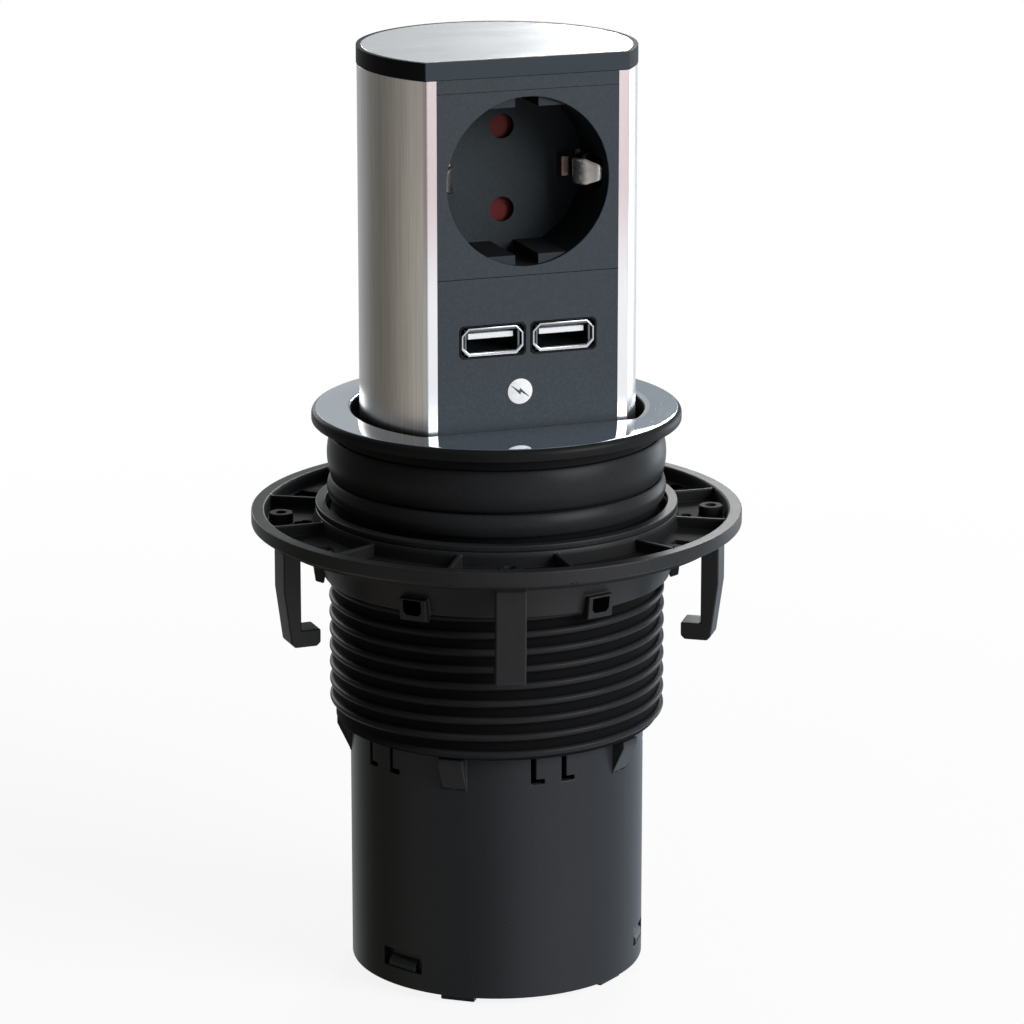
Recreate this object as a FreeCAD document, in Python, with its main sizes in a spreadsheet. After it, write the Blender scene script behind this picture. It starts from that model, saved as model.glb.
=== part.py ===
import FreeCAD, Part

import os

import Sketcher

# A pop-up desk socket, in millimetres. +Z is up, the flat face of the tower looks along -Y, and the
# origin is on the collar's axis, on the surface that the stand feet rest on. The tower is modelled raised.

SIZES = [
    # Tower, outside
    ("tower_stay", 38.0, "part of the tower that stays inside the collar when it is raised"),
    ("tower_shift", 0.6, "centre of the round back, in front of the collar's axis"),
    ("tower_flat", 21.25, "flat face of the tower, in front of the collar's axis"),
    ("shell_wall", 1.5, "wall of the aluminium shell"),
    ("lip_width", 1.64, "lip of the shell beside the face modules"),
    ("fit_gap", 0.1, "gap between pieces that are assembled and stay put"),
    ("slide_gap", 0.3, "gap between pieces that slide past each other"),
    ("cap_height", 4.0, "black side band of the top cap"),
    ("cap_overhang", 0.15, "top cap proud of the shell"),
    ("plate_inset", 0.9, "black rim of the cap round the bright top plate"),
    ("plate_height", 0.8, "thickness of the bright top plate"),
    ("cap_wall", 1.5, "wall of the cap's plug inside the shell"),
    ("filler_height", 3.2, "strip of the face between the cap and the socket module"),
    ("module_margin", 0.305, "face module above and below the round wall of the plug recess"),
    ("face_margin", 1.48, "face module beside the round wall of the plug recess"),
    ("skin", 2.5, "thickness of the face modules' front plates"),
    ("clip_width", 0.9, "flange of a face module behind the shell's lip"),
    # Plug socket
    ("socket_raise", 0.3, "centre of the plug recess above the middle of its module"),
    ("recess_radius", 19.07, "round plug recess"),
    ("recess_depth", 17.5, "depth of the plug recess"),
    ("recess_floor", 1.5, "thickness of the recess's floor"),
    ("recess_wall", 1.5, "thickness of the recess's round wall"),
    ("key_depth", 2.47, "height of a key rib over the recess's round wall"),
    ("key_setback", 1.0, "front of a key rib behind the face"),
    ("key_slot", 5.4, "width of the slot through a key rib"),
    ("pin_pitch", 19.0, "distance between the two pin holes"),
    ("pin_hole_radius", 2.8, "pin hole"),
    ("base_depth", 14.0, "depth of the insulating base behind the recess"),
    ("shutter_width", 14.0, "width of the shutter plate"),
    ("shutter_thickness", 1.6, "thickness of the shutter plate"),
    ("shutter_travel", 6.2, "downward travel of the shutter plate"),
    ("shutter_margin", 0.6, "shutter plate past the holes that it covers"),
    ("ear_width", 3.0, "ear of the shutter plate that rests on its spring"),
    ("ear_height", 3.0, "height of an ear"),
    ("spring_radius", 1.2, "outside of a shutter spring"),
    ("spring_wire", 0.35, "wire of a shutter spring"),
    ("contact_radius", 3.6, "outside of a line contact's barrel"),
    ("contact_wall", 1.3, "wall of a line contact"),
    ("contact_slit", 0.8, "slit that lets a line contact spring"),
    ("contact_slit_length", 7.0, "length of that slit"),
    ("contact_back", 0.5, "base behind a line contact's barrel"),
    ("strap_width", 6.0, "width of the earth strap"),
    ("strap_thickness", 0.8, "thickness of the earth strap"),
    ("strap_reach", 2.6, "how far an earth clip's tongue stands into the recess"),
    ("strap_setback", 4.1, "front of an earth clip behind the face"),
    ("strap_tongue", 5.3, "length of an earth clip's tongue"),
    ("spring_ledge", 2.4, "ledge of the base under the shutter springs"),
    ("screw_radius", 1.5, "shank of the small screws"),
    # Charging module
    ("port_spacing", 1.2, "gap between the trims of the two charging ports"),
    ("port_drop", 14.35, "centre of the ports under the top of their module"),
    ("port_width", 12.9, "outside width of a port's steel shell"),
    ("port_height", 5.6, "outside height of a port's steel shell"),
    ("port_wall", 0.4, "wall of a port's steel shell"),
    ("port_length", 17.0, "length of a port's steel shell"),
    ("trim_side", 1.35, "eight-sided trim beside a port"),
    ("trim_rise", 0.9, "eight-sided trim above and below a port"),
    ("trim_depth", 1.6, "depth of the eight-sided trim"),
    ("trim_corner", 0.75, "cut corner of the eight-sided trim"),
    ("port_setback", 0.4, "front of a port's shell behind the face"),
    ("tongue_setback", 1.0, "front of a port's tongue behind the front of its shell"),
    ("tongue_inset", 0.7, "gap between a port's tongue and its shell"),
    ("tongue_height", 1.3, "thickness of a port's tongue"),
    ("board_thickness", 1.6, "thickness of the charger's circuit board"),
    ("board_side", 2.57, "charger's circuit board inside the edges of the base"),
    ("board_margin", 2.5, "charger's circuit board below and above the edges of its module"),
    ("core_width", 16.0, "width and height of the charger's transformer"),
    ("core_side", 4.0, "transformer inside the edge of the board"),
    ("capacitor_side", 2.0, "capacitor inside the edge of the board"),
    ("core_rise", 16.0, "transformer and capacitor above the foot of their module"),
    ("capacitor_radius", 5.0, "outside of the charger's capacitor"),
    # Tower, inside and foot
    ("carrier_thickness", 2.0, "thickness of the inner carrier"),
    ("carrier_inset", 0.5, "side of the inner carrier inside the edge of the base"),
    ("carrier_flange", 7.0, "depth of the inner carrier's side flanges"),
    ("blank_height", 24.4, "lowest part of the face, below the charging module"),
    ("foot_height", 6.4, "height of the tower's foot"),
    ("lug_width", 9.0, "width of the foot's guide lugs"),
    ("front_lug", 3.0, "front guide lug proud of the tower's flat face"),
    ("cord_hole_radius", 4.5, "hole for the supply cord in the tower's foot"),
    ("cord_inset", 3.5, "wall between that hole and the shell"),
    ("clamp_width", 24.0, "width of the cord clamp"),
    ("clamp_depth", 5.5, "depth of the cord clamp"),
    ("clamp_height", 6.0, "height of the cord clamp"),
    ("terminal_width", 26.0, "width of the terminal block"),
    ("terminal_depth", 12.0, "depth of the terminal block"),
    ("terminal_foot", 3.0, "terminal block above the tower's foot"),
    ("terminal_head", 4.0, "terminal block below the charging module"),
    ("terminal_screw", 2.0, "height of a terminal screw's head"),
    ("terminal_pitch", 8.5, "distance between the terminal screws"),
    ("stop_gap", 0.1, "gap between the foot's lugs and the stop that they meet when raised"),
    # Bezel, collar and housing
    ("bezel_overhang", 3.45, "bezel past the collar's widest line"),
    ("bezel_under_edge", 1.0, "slant under the bezel's rim"),
    ("bezel_rim", 3.0, "thickness of the bezel's rim"),
    ("bezel_edge", 1.4, "rounding of the bezel's upper edge"),
    ("bezel_gap", 2.0, "gap between the tower's round back and the bezel's hole"),
    ("bezel_front_gap", 1.5, "gap between the tower's flat face and the bezel's hole"),
    ("neck_step", 0.5, "neck of the bezel inside the collar's outer wall"),
    ("crescent_wall", 1.8, "walls round the hollow in front of the tower's flat face"),
    ("neck_depth", 2.5, "how far the neck goes down inside the collar"),
    ("gasket_height", 2.9, "height of the gasket under the bezel"),
    ("gasket_width", 0.9, "gasket past the bezel's neck"),
    ("gasket_seat", 0.3, "how far the gasket goes up into the bezel"),
    ("collar_height", 67.6, "height of the collar"),
    ("collar_wall", 2.3, "wall of the collar between the thread ridges"),
    ("ridge_rise", 1.4, "height of the collar's thread ridges"),
    ("band_rise", 0.8, "edges of the crowned bands over the wall between the ridges"),
    ("band_crown", 0.8, "crown of the collar's bands over their edges"),
    ("upper_band", 9.4, "height of the upper crowned band"),
    ("lower_band", 5.2, "height of the lower crowned band"),
    ("band_groove", 0.6, "groove between the crowned bands"),
    ("thread_pitch", 4.0, "pitch of the collar's thread"),
    ("ridge_width", 1.3, "crest of a thread ridge"),
    ("ridge_slope", 1.1, "height of a thread ridge's lower, sloping flank"),
    ("ridge_back", 0.2, "height of a thread ridge's upper flank"),
    ("collar_lip", 1.6, "sloping end of the collar under its last ridge"),
    ("collar_taper", 1.0, "slope of the collar's end"),
    ("sleeve_step", 0.9, "outside of the guide sleeve's barrel over the housing tube"),
    ("sleeve_flange", 1.6, "thickness of the guide sleeve's flange"),
    ("pad_width", 8.0, "width of a brake pad"),
    ("pad_margin", 3.7, "guide sleeve above and below a brake pad"),
    ("pad_depth", 3.0, "deepest reach of a brake pad's window inside the sleeve's bore"),
    ("leaf_thickness", 0.4, "thickness of a brake spring"),
    ("tube_clearance", 0.9, "gap between the tower's round back and the housing tube"),
    ("tube_wall", 1.6, "wall of the housing tube"),
    ("wedge_rise", 3.1, "catch wedge proud of the housing tube"),
    ("wedge_height", 8.0, "height of a catch wedge"),
    ("wedge_lip", 1.5, "upright edge of a catch wedge"),
    ("wedge_width", 5.8, "width of a catch wedge"),
    ("slit_width", 1.1, "width of the slits beside a snap tongue"),
    ("slit_height", 6.8, "height of the slits beside a snap tongue"),
    ("slit_pitch", 7.4, "distance between the slits beside a snap tongue"),
    ("slit_toe", 3.2, "length of the level end of a slit"),
    ("window_width", 11.4, "snap window near the foot of the housing tube"),
    ("window_height", 4.4, "height of a snap window"),
    ("window_base", 4.2, "snap window above the lower edge of the housing tube"),
    ("floor_thickness", 2.2, "plate of the bottom cap"),
    ("floor_rim", 9.6, "height of the bottom cap's rim"),
    ("floor_rim_wall", 1.5, "thickness of the bottom cap's rim"),
    ("foot_width", 8.0, "width of a stand foot"),
    ("foot_depth", 2.2, "depth of a stand foot"),
    ("foot_inset", 0.4, "stand foot inside the edge of the bottom cap"),
    ("snap_gap", 1.7, "gap on each side of a snap lug in its window"),
    ("snap_lip", 1.4, "height of a snap lug's upright edge"),
    ("outlet_radius", 11.0, "cord outlet in the bottom cap"),
    ("foot_drop", 1.7, "stand feet below the housing tube"),
    ("foot_clearance", 8.0, "space under the tower when it is pushed down"),
    # Clamp ring
    ("clamp_gap", 23.85, "ring's rim below the top of the bezel"),
    ("ring_reach", 14.78, "rim of the clamp ring past its hub"),
    ("rim_width", 3.0, "width of the ring's rim"),
    ("rim_height", 3.1, "height of the ring's rim over its web"),
    ("web_thickness", 2.2, "thickness of the ring's web"),
    ("rim_slope", 0.8, "slope of the rim's inner wall"),
    ("hub_width", 2.35, "width of the ring's hub at its top"),
    ("hub_slope", 0.5, "slope of the hub's outer wall"),
    ("hub_fillet", 1.8, "slant between the skirt and the web"),
    ("hub_fillet_height", 3.6, "height of that slant"),
    ("hub_rise", 0.4, "top of the hub above the rim"),
    ("nut_gap", 0.35, "gap between the nut and the collar"),
    ("skirt_wall", 0.65, "wall of the skirt at its lower edge"),
    ("skirt_depth", 15.3, "lower edge of the skirt below the ring's rim"),
    ("rib_thickness", 1.1, "thickness of a rib on the web"),
    ("rib_drop", 0.35, "top of a rib under the rim"),
    ("rib_root", 0.6, "how far a rib runs into the hub and the rim"),
    ("boss_radius", 2.8, "outside of a screw boss"),
    ("boss_hole_radius", 1.15, "hole of a screw boss"),
    ("boss_inset", 6.88, "screw bosses inside the ring's outer edge"),
    ("boss_drop", 0.7, "top of a screw boss under the rim"),
    ("boss_hole_depth", 6.3, "depth of a screw boss's hole under the rim"),
    ("web_hole_inset", 2.2, "round holes of the web from the hub"),
    ("slot_inset", 2.9, "slots of the web from the hub"),
    ("slot_length", 7.4, "length of a slot of the web"),
    ("slot_width", 3.0, "width of a slot of the web"),
    ("hook_inset", 3.48, "outside of a hook inside the ring's outer edge"),
    ("hook_draw", 1.7, "taper of a hook's outer face"),
    ("hook_upright", 9.0, "straight stretch of a hook under the web"),
    ("hook_round", 0.9, "rounded corners of a hook's foot"),
    ("hook_width", 6.8, "width of a hook"),
    ("hook_thickness", 4.1, "thickness of a hook's post"),
    ("hook_depth", 27.8, "underside of a hook below the ring's rim"),
    ("hook_foot", 4.0, "height of a hook's foot"),
    ("hook_toe", 4.6, "hook's foot inward of its post"),
    ("catch_width", 6.6, "width of a catch on the skirt"),
    ("catch_height", 5.8, "height of a catch on the skirt"),
    ("catch_rise", 3.2, "catch proud of the nut's bore"),
    ("catch_drop", 1.8, "underside of a catch below the skirt"),
    ("catch_slope", 1.9, "height of a catch's slanting underside"),
    ("catch_tip", 0.6, "slant of a catch's front edge"),
    ("washer_height", 1.4, "thickness of the slip washer on the hub"),
]

HOOK_COUNT = 5
HOOK_BEARING = -16.0
RIB_COUNT = 12
RIB_BEARING = -1.0
RIB_STEP = 360 / RIB_COUNT
BOSS_COUNT = 4
CATCH_COUNT = 6
CATCH_BEARING = 14.0
SNAP_COUNT = 5
WEDGE_BEARING = 36.0
WINDOW_COUNT = 3
WINDOW_BEARING = 60.0
FRONT = -90.0
PAD_ANGLES = (25, 155)
LUG_ANGLES = (25, 90, 155)
BEYOND = 1.0

doc = FreeCAD.newDocument("PopUpDeskSocket")
sheet = doc.addObject("Spreadsheet::Sheet", "Sizes")
PIECES = []


class Size:
    """A length together with the sheet formula that it comes from."""

    def __init__(self, value, formula):
        self.value = value
        self.formula = formula

    def __add__(self, other):
        other = size_of(other)
        return Size(self.value + other.value, f"({self.formula} + {other.formula})")

    def __sub__(self, other):
        other = size_of(other)
        return Size(self.value - other.value, f"({self.formula} - {other.formula})")

    def __mul__(self, other):
        other = size_of(other)
        return Size(self.value * other.value, f"({self.formula} * {other.formula})")

    def __truediv__(self, other):
        other = size_of(other)
        return Size(self.value / other.value, f"({self.formula} / {other.formula})")

    def __neg__(self):
        return Size(-self.value, f"(0 - {self.formula})")

    def __radd__(self, other):
        return size_of(other) + self

    def __rsub__(self, other):
        return size_of(other) - self

    __rmul__ = __mul__

    def root(self):
        """The square root."""
        return Size(self.value**0.5, f"sqrt({self.formula})")


def size_of(number):
    """A plain number as a Size, and a Size as it is."""
    return number if isinstance(number, Size) else Size(float(number), f"({float(number)!r})")


class Sheet:
    """The driving sizes by name."""


s = Sheet()
for row, (alias, number, meaning) in enumerate(SIZES, start=1):
    sheet.set(f"A{row}", alias)
    sheet.set(f"B{row}", str(number))
    sheet.set(f"C{row}", meaning)
    sheet.setAlias(f"B{row}", alias)
    setattr(s, alias, Size(number, f"Sizes.{alias}"))
doc.recompute()


def bind(thing, **sizes):
    """Bind the properties of a document object to formulas on the sheet."""
    for name, size in sizes.items():
        thing.setExpression(name, size_of(size).formula)


def place(thing, x=0, y=0, z=0, axis=(0, 0, 1), angle=0):
    """Bind a document object's place to formulas on the sheet."""
    point = [size_of(v) for v in (x, y, z)]
    thing.Placement = FreeCAD.Placement(
        FreeCAD.Vector(*[v.value for v in point]), FreeCAD.Rotation(FreeCAD.Vector(*axis), angle)
    )
    for letter, value in zip("xyz", point):
        thing.setExpression(f"Placement.Base.{letter}", value.formula)
    return thing


def block(name, x, y, z):
    """A box between two corners, each span given as (low, high)."""
    thing = doc.addObject("Part::Box", name)
    spans = [(size_of(low), size_of(high)) for low, high in (x, y, z)]
    bind(thing, Length=spans[0][1] - spans[0][0], Width=spans[1][1] - spans[1][0])
    bind(thing, Height=spans[2][1] - spans[2][0])
    return place(thing, spans[0][0], spans[1][0], spans[2][0])


def rod(name, radius, start, length, along="z"):
    """A round bar from a start point, along one axis."""
    thing = doc.addObject("Part::Cylinder", name)
    bind(thing, Radius=radius, Height=length)
    axis, angle = {"x": ((0, 1, 0), 90), "y": ((1, 0, 0), -90), "z": ((0, 0, 1), 0)}[along]
    return place(thing, *start, axis=axis, angle=angle)


def join(name, *pieces):
    """One solid out of several that touch."""
    thing = doc.addObject("Part::MultiFuse", name)
    thing.Shapes = list(pieces)
    thing.Refine = True
    return thing


def cut(name, base, *tools):
    """A solid with other solids taken away."""
    thing = doc.addObject("Part::Cut", name)
    thing.Base = base
    thing.Tool = tools[0] if len(tools) == 1 else group(f"{name}_tools", *tools)
    thing.Refine = True
    return thing


def overlap(name, *pieces):
    """What several solids have in common."""
    thing = doc.addObject("Part::MultiCommon", name)
    thing.Shapes = list(pieces)
    thing.Refine = True
    return thing


def group(name, *pieces):
    """Several solids kept apart under one name."""
    thing = doc.addObject("Part::Compound", name)
    thing.Links = list(pieces)
    return thing


def turned(name, piece, angle):
    """A piece turned about the collar's axis."""
    return place(group(name, piece), angle=angle)


def part(label, thing):
    """Enter a finished piece in the list under its node's name."""
    thing.Label = label
    PIECES.append(thing)
    return thing


def origin_feature(body, role):
    """A plane or an axis of a body's own origin."""
    return next(feature for feature in body.Origin.OriginFeatures if feature.Role == role)


def new_sketch(body, name, plane="XZ_Plane", bearing=None, lift=0):
    """A sketch on one of a body's origin planes, turned about the axis or lifted along it."""
    sketch = body.newObject("Sketcher::SketchObject", name)
    sketch.AttachmentSupport = [(origin_feature(body, plane), "")]
    sketch.MapMode = "FlatFace"
    up = FreeCAD.Vector(0, 0, 1) if plane == "XY_Plane" else FreeCAD.Vector(0, 1, 0)
    sketch.AttachmentOffset = FreeCAD.Placement(
        FreeCAD.Vector(0, 0, 0), FreeCAD.Rotation(up, 0.0 if bearing is None else bearing)
    )
    if isinstance(lift, Size):
        sketch.setExpression("AttachmentOffset.Base.z", lift.formula)
    return sketch


def pin_point(sketch, geometry, end, x, y):
    """Fix one point of a sketch at two formulas."""
    for kind, axis, size in (("DistanceX", -2, x), ("DistanceY", -1, y)):
        size = size_of(size)
        if size.value == 0:
            sketch.addConstraint(Sketcher.Constraint("PointOnObject", geometry, end, axis))
            continue
        number = sketch.addConstraint(Sketcher.Constraint(kind, -1, 1, geometry, end, size.value))
        sketch.setExpression(f"Constraints[{number}]", size.formula)


def arc_middle(start, finish, bulge):
    """The middle of an arc of radius |bulge|, right of the chord if bulge is above 0."""
    chord = finish.sub(start)
    radius = abs(bulge)
    rise = radius - (radius**2 - (chord.Length / 2) ** 2) ** 0.5
    side = FreeCAD.Vector(chord.y, -chord.x, 0)
    side.normalize()
    return start.add(chord.multiply(0.5)).add(side.multiply(rise if bulge > 0 else -rise))


def outline(sketch, points):
    """A closed outline. A point may carry a third value, the radius of an arc to the next point."""
    corners = [FreeCAD.Vector(size_of(p[0]).value, size_of(p[1]).value, 0) for p in points]
    ends = []
    for index, point in enumerate(points):
        start, finish = corners[index], corners[(index + 1) % len(points)]
        if len(point) == 3:
            edge = Part.Arc(start, arc_middle(start, finish, size_of(point[2]).value), finish)
        else:
            edge = Part.LineSegment(start, finish)
        number = sketch.addGeometry(edge, False)
        forward = sketch.Geometry[number].StartPoint.distanceToPoint(start) < 1e-6
        ends.append((number, 1 if forward else 2, 2 if forward else 1))
    for index, point in enumerate(points):
        number, first, last = ends[index]
        following, head, _ = ends[(index + 1) % len(points)]
        sketch.addConstraint(Sketcher.Constraint("Coincident", number, last, following, head))
        pin_point(sketch, number, first, point[0], point[1])
        if len(point) == 3:
            radius = size_of(point[2])
            rule = sketch.addConstraint(Sketcher.Constraint("Radius", number, abs(radius.value)))
            sketch.setExpression(f"Constraints[{rule}]", (radius if radius.value > 0 else -radius).formula)
    return sketch


def circle(sketch, x, y, radius):
    """A circle whose centre and radius are formulas."""
    centre = FreeCAD.Vector(size_of(x).value, size_of(y).value, 0)
    number = sketch.addGeometry(Part.Circle(centre, FreeCAD.Vector(0, 0, 1), size_of(radius).value), False)
    pin_point(sketch, number, 3, x, y)
    rule = sketch.addConstraint(Sketcher.Constraint("Radius", number, size_of(radius).value))
    sketch.setExpression(f"Constraints[{rule}]", size_of(radius).formula)
    return sketch


def rectangle(sketch, x, y):
    """A rectangle between two spans."""
    return outline(sketch, [(x[0], y[0]), (x[1], y[0]), (x[1], y[1]), (x[0], y[1])])


def new_body(name):
    return doc.addObject("PartDesign::Body", name)


def revolve(body, points):
    """Turn an outline of (radius, height) points about the vertical axis."""
    sketch = outline(new_sketch(body, f"{body.Name}_section"), points)
    feature = body.newObject("PartDesign::Revolution", f"{body.Name}_turned")
    feature.Profile = sketch
    feature.ReferenceAxis = (sketch, ["V_Axis"])
    feature.Angle = 360
    return feature


def pad(body, sketch, length, middle=False):
    """Thicken a sketch."""
    feature = body.newObject("PartDesign::Pad", f"{sketch.Name}_pad")
    feature.Profile = sketch
    bind(feature, Length=length)
    feature.Midplane = middle
    return feature


def pocket(body, sketch, length=None, flip=False):
    """Cut a sketch away, right through or to a depth."""
    feature = body.newObject("PartDesign::Pocket", f"{sketch.Name}_cut")
    feature.Profile = sketch
    feature.Reversed = flip
    if length is None:
        feature.Type = "ThroughAll"
    else:
        bind(feature, Length=length)
    return feature


def around(body, features, count):
    """Repeat features evenly about the vertical axis."""
    pattern = body.newObject("PartDesign::PolarPattern", f"{features[0].Name}_ring")
    pattern.Originals = features
    pattern.Axis = (origin_feature(body, "Z_Axis"), [""])
    pattern.Angle = 360
    pattern.Occurrences = count
    body.Tip = pattern
    return pattern


# Half widths of the face and the radii that follow from it, from the plug recess outwards
CUP_RADIUS = s.recess_radius + s.recess_wall
HALF_FACE = CUP_RADIUS + s.face_margin
HALF_CHORD = HALF_FACE + s.fit_gap + s.lip_width
FLAT_OFFSET = s.tower_flat - s.tower_shift
TOWER_RADIUS = (HALF_CHORD * HALF_CHORD + FLAT_OFFSET * FLAT_OFFSET).root()
BORE_RADIUS = TOWER_RADIUS + s.tube_clearance
TUBE_RADIUS = BORE_RADIUS + s.tube_wall
SLEEVE_RADIUS = TUBE_RADIUS + s.sleeve_step
ROOT_RADIUS = SLEEVE_RADIUS + s.fit_gap + s.collar_wall
CREST_RADIUS = ROOT_RADIUS + s.ridge_rise
BAND_EDGE = ROOT_RADIUS + s.band_rise
BAND_RADIUS = BAND_EDGE + s.band_crown
NECK_RADIUS = ROOT_RADIUS - s.neck_step
GASKET_RADIUS = NECK_RADIUS + s.gasket_width
BEZEL_RADIUS = BAND_RADIUS + s.bezel_overhang
NUT_BORE = BAND_RADIUS + s.nut_gap
HUB_RADIUS = NUT_BORE + s.hub_width
RING_RADIUS = HUB_RADIUS + s.ring_reach
RIM_INNER = RING_RADIUS - s.rim_width
BOSS_CIRCLE = RING_RADIUS - s.boss_inset
HOOK_RADIUS = RING_RADIUS - s.hook_inset
MODULE_HEIGHT = (CUP_RADIUS + s.module_margin) * 2
TOWER_LENGTH = s.cap_height + s.filler_height + MODULE_HEIGHT * 2 + s.blank_height + s.foot_height

# Levels, all measured up from the stand feet
TUBE_FOOT = s.foot_drop
BEZEL_TOP = s.foot_drop + s.floor_thickness + s.foot_clearance + TOWER_LENGTH
BEZEL_UNDER = BEZEL_TOP - s.bezel_rim
COLLAR_TOP = BEZEL_UNDER - s.gasket_height
COLLAR_FOOT = COLLAR_TOP - s.collar_height
TOWER_TOP = BEZEL_TOP + TOWER_LENGTH - s.tower_stay
TOWER_FOOT = TOWER_TOP - TOWER_LENGTH
FOOT_TOP = TOWER_FOOT + s.foot_height
CAP_UNDER = TOWER_TOP - s.cap_height
SOCKET_TOP = CAP_UNDER - s.filler_height
CHARGER_TOP = SOCKET_TOP - MODULE_HEIGHT
BLANK_TOP = CHARGER_TOP - MODULE_HEIGHT
SOCKET_Z = SOCKET_TOP - MODULE_HEIGHT / 2 + s.socket_raise
PORT_Z = CHARGER_TOP - s.port_drop
SLEEVE_FOOT = FOOT_TOP + s.stop_gap
RIM_TOP = BEZEL_TOP - s.clamp_gap
WEB_TOP = RIM_TOP - s.rim_height
WEB_UNDER = WEB_TOP - s.web_thickness

# Depths, all measured along Y
FACE_Y = -s.tower_flat
RECESS_Y = FACE_Y + s.recess_depth
BASE_Y = RECESS_Y + s.recess_floor
CARRIER_Y = BASE_Y + s.base_depth + s.fit_gap
CORD_Y = TOWER_RADIUS - s.tower_shift - s.shell_wall - s.cord_inset - s.cord_hole_radius


def d_prism(name, grow, low, high, front=None):
    """The tower's D-shaped section, grown by a margin, between two levels."""
    round_side = rod(f"{name}_round", TOWER_RADIUS + grow, (0, -s.tower_shift, low), high - low)
    reach = TOWER_RADIUS + grow + BEYOND
    face = -s.tower_flat - (grow if front is None else front)
    behind = block(f"{name}_behind", (-reach, reach), (face, reach), (low, high))
    return overlap(name, round_side, behind)


def front_hollow(name, radius, front, low, high):
    """The space to leave out in front of the tower's flat face, so that the walls there stay even."""
    inside = rod(f"{name}_round", radius - s.crescent_wall, (0, 0, low), high - low)
    before = block(
        f"{name}_before", (-radius, radius), (-radius, -s.tower_flat - front - s.crescent_wall), (low, high)
    )
    return overlap(name, inside, before)


# Bezel, gasket and collar


def bezel_ring():
    body = new_body("bezel_disc")
    edge = s.bezel_edge
    neck_foot = COLLAR_TOP - s.neck_depth
    revolve(body, [
        (0, neck_foot),
        (NECK_RADIUS, neck_foot),
        (NECK_RADIUS, BEZEL_UNDER + s.gasket_seat),
        (GASKET_RADIUS + s.fit_gap, BEZEL_UNDER + s.gasket_seat),
        (GASKET_RADIUS + s.fit_gap, BEZEL_UNDER),
        (BEZEL_RADIUS - s.bezel_under_edge, BEZEL_UNDER),
        (BEZEL_RADIUS, BEZEL_TOP - edge, edge),
        (BEZEL_RADIUS - edge, BEZEL_TOP),
        (0, BEZEL_TOP),
    ])
    hole = d_prism("bezel_hole", s.bezel_gap, neck_foot - BEYOND, BEZEL_TOP + BEYOND, front=s.bezel_front_gap)
    hollow = front_hollow("bezel_hollow", NECK_RADIUS, s.bezel_front_gap, neck_foot - BEYOND, BEZEL_UNDER)
    part("bezel_ring", cut("bezel_cut", body, hole, hollow))


def bezel_gasket():
    body = new_body("bezel_gasket")
    inner = NECK_RADIUS + s.fit_gap
    revolve(body, [
        (inner, COLLAR_TOP),
        (GASKET_RADIUS, COLLAR_TOP),
        (GASKET_RADIUS, BEZEL_UNDER + s.gasket_seat),
        (inner, BEZEL_UNDER + s.gasket_seat),
    ])
    part("bezel_gasket", body)


def threaded_collar():
    body = new_body("threaded_collar")
    neck_bore = NECK_RADIUS + s.fit_gap
    seat = COLLAR_TOP - s.neck_depth - s.sleeve_flange - s.fit_gap
    sleeve_bore = SLEEVE_RADIUS + s.fit_gap
    tube_bore = TUBE_RADIUS + s.fit_gap
    shoulder = SLEEVE_FOOT - s.fit_gap
    groove_top = COLLAR_TOP - s.upper_band
    band_top = groove_top - s.band_groove
    band_foot = band_top - s.lower_band
    edge = BAND_EDGE
    crown = s.band_crown
    upper_arc = (s.upper_band * s.upper_band / 4 + crown * crown) / (crown * 2)
    lower_arc = (s.lower_band * s.lower_band / 4 + crown * crown) / (crown * 2)
    section = [
        (tube_bore, COLLAR_FOOT),
        (ROOT_RADIUS - s.collar_taper, COLLAR_FOOT),
    ]
    ridge = COLLAR_FOOT + s.collar_lip
    ridges = int((band_foot - ridge).value // s.thread_pitch.value)
    for number in range(ridges):
        foot = ridge + s.thread_pitch * number
        section.append((ROOT_RADIUS, foot))
        section.append((CREST_RADIUS, foot + s.ridge_slope))
        section.append((CREST_RADIUS, foot + s.ridge_slope + s.ridge_width))
        section.append((ROOT_RADIUS, foot + s.ridge_slope + s.ridge_width + s.ridge_back))
    section += [
        (ROOT_RADIUS, band_foot),
        (edge, band_foot, lower_arc),
        (edge, band_top),
        (ROOT_RADIUS, band_top),
        (ROOT_RADIUS, groove_top),
        (edge, groove_top, upper_arc),
        (edge, COLLAR_TOP),
        (neck_bore, COLLAR_TOP),
        (neck_bore, seat),
        (sleeve_bore, seat),
        (sleeve_bore, shoulder),
        (tube_bore, shoulder),
    ]
    revolve(body, section)
    part("threaded_collar", body)


# Guide sleeve and the brake that holds the tower


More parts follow.
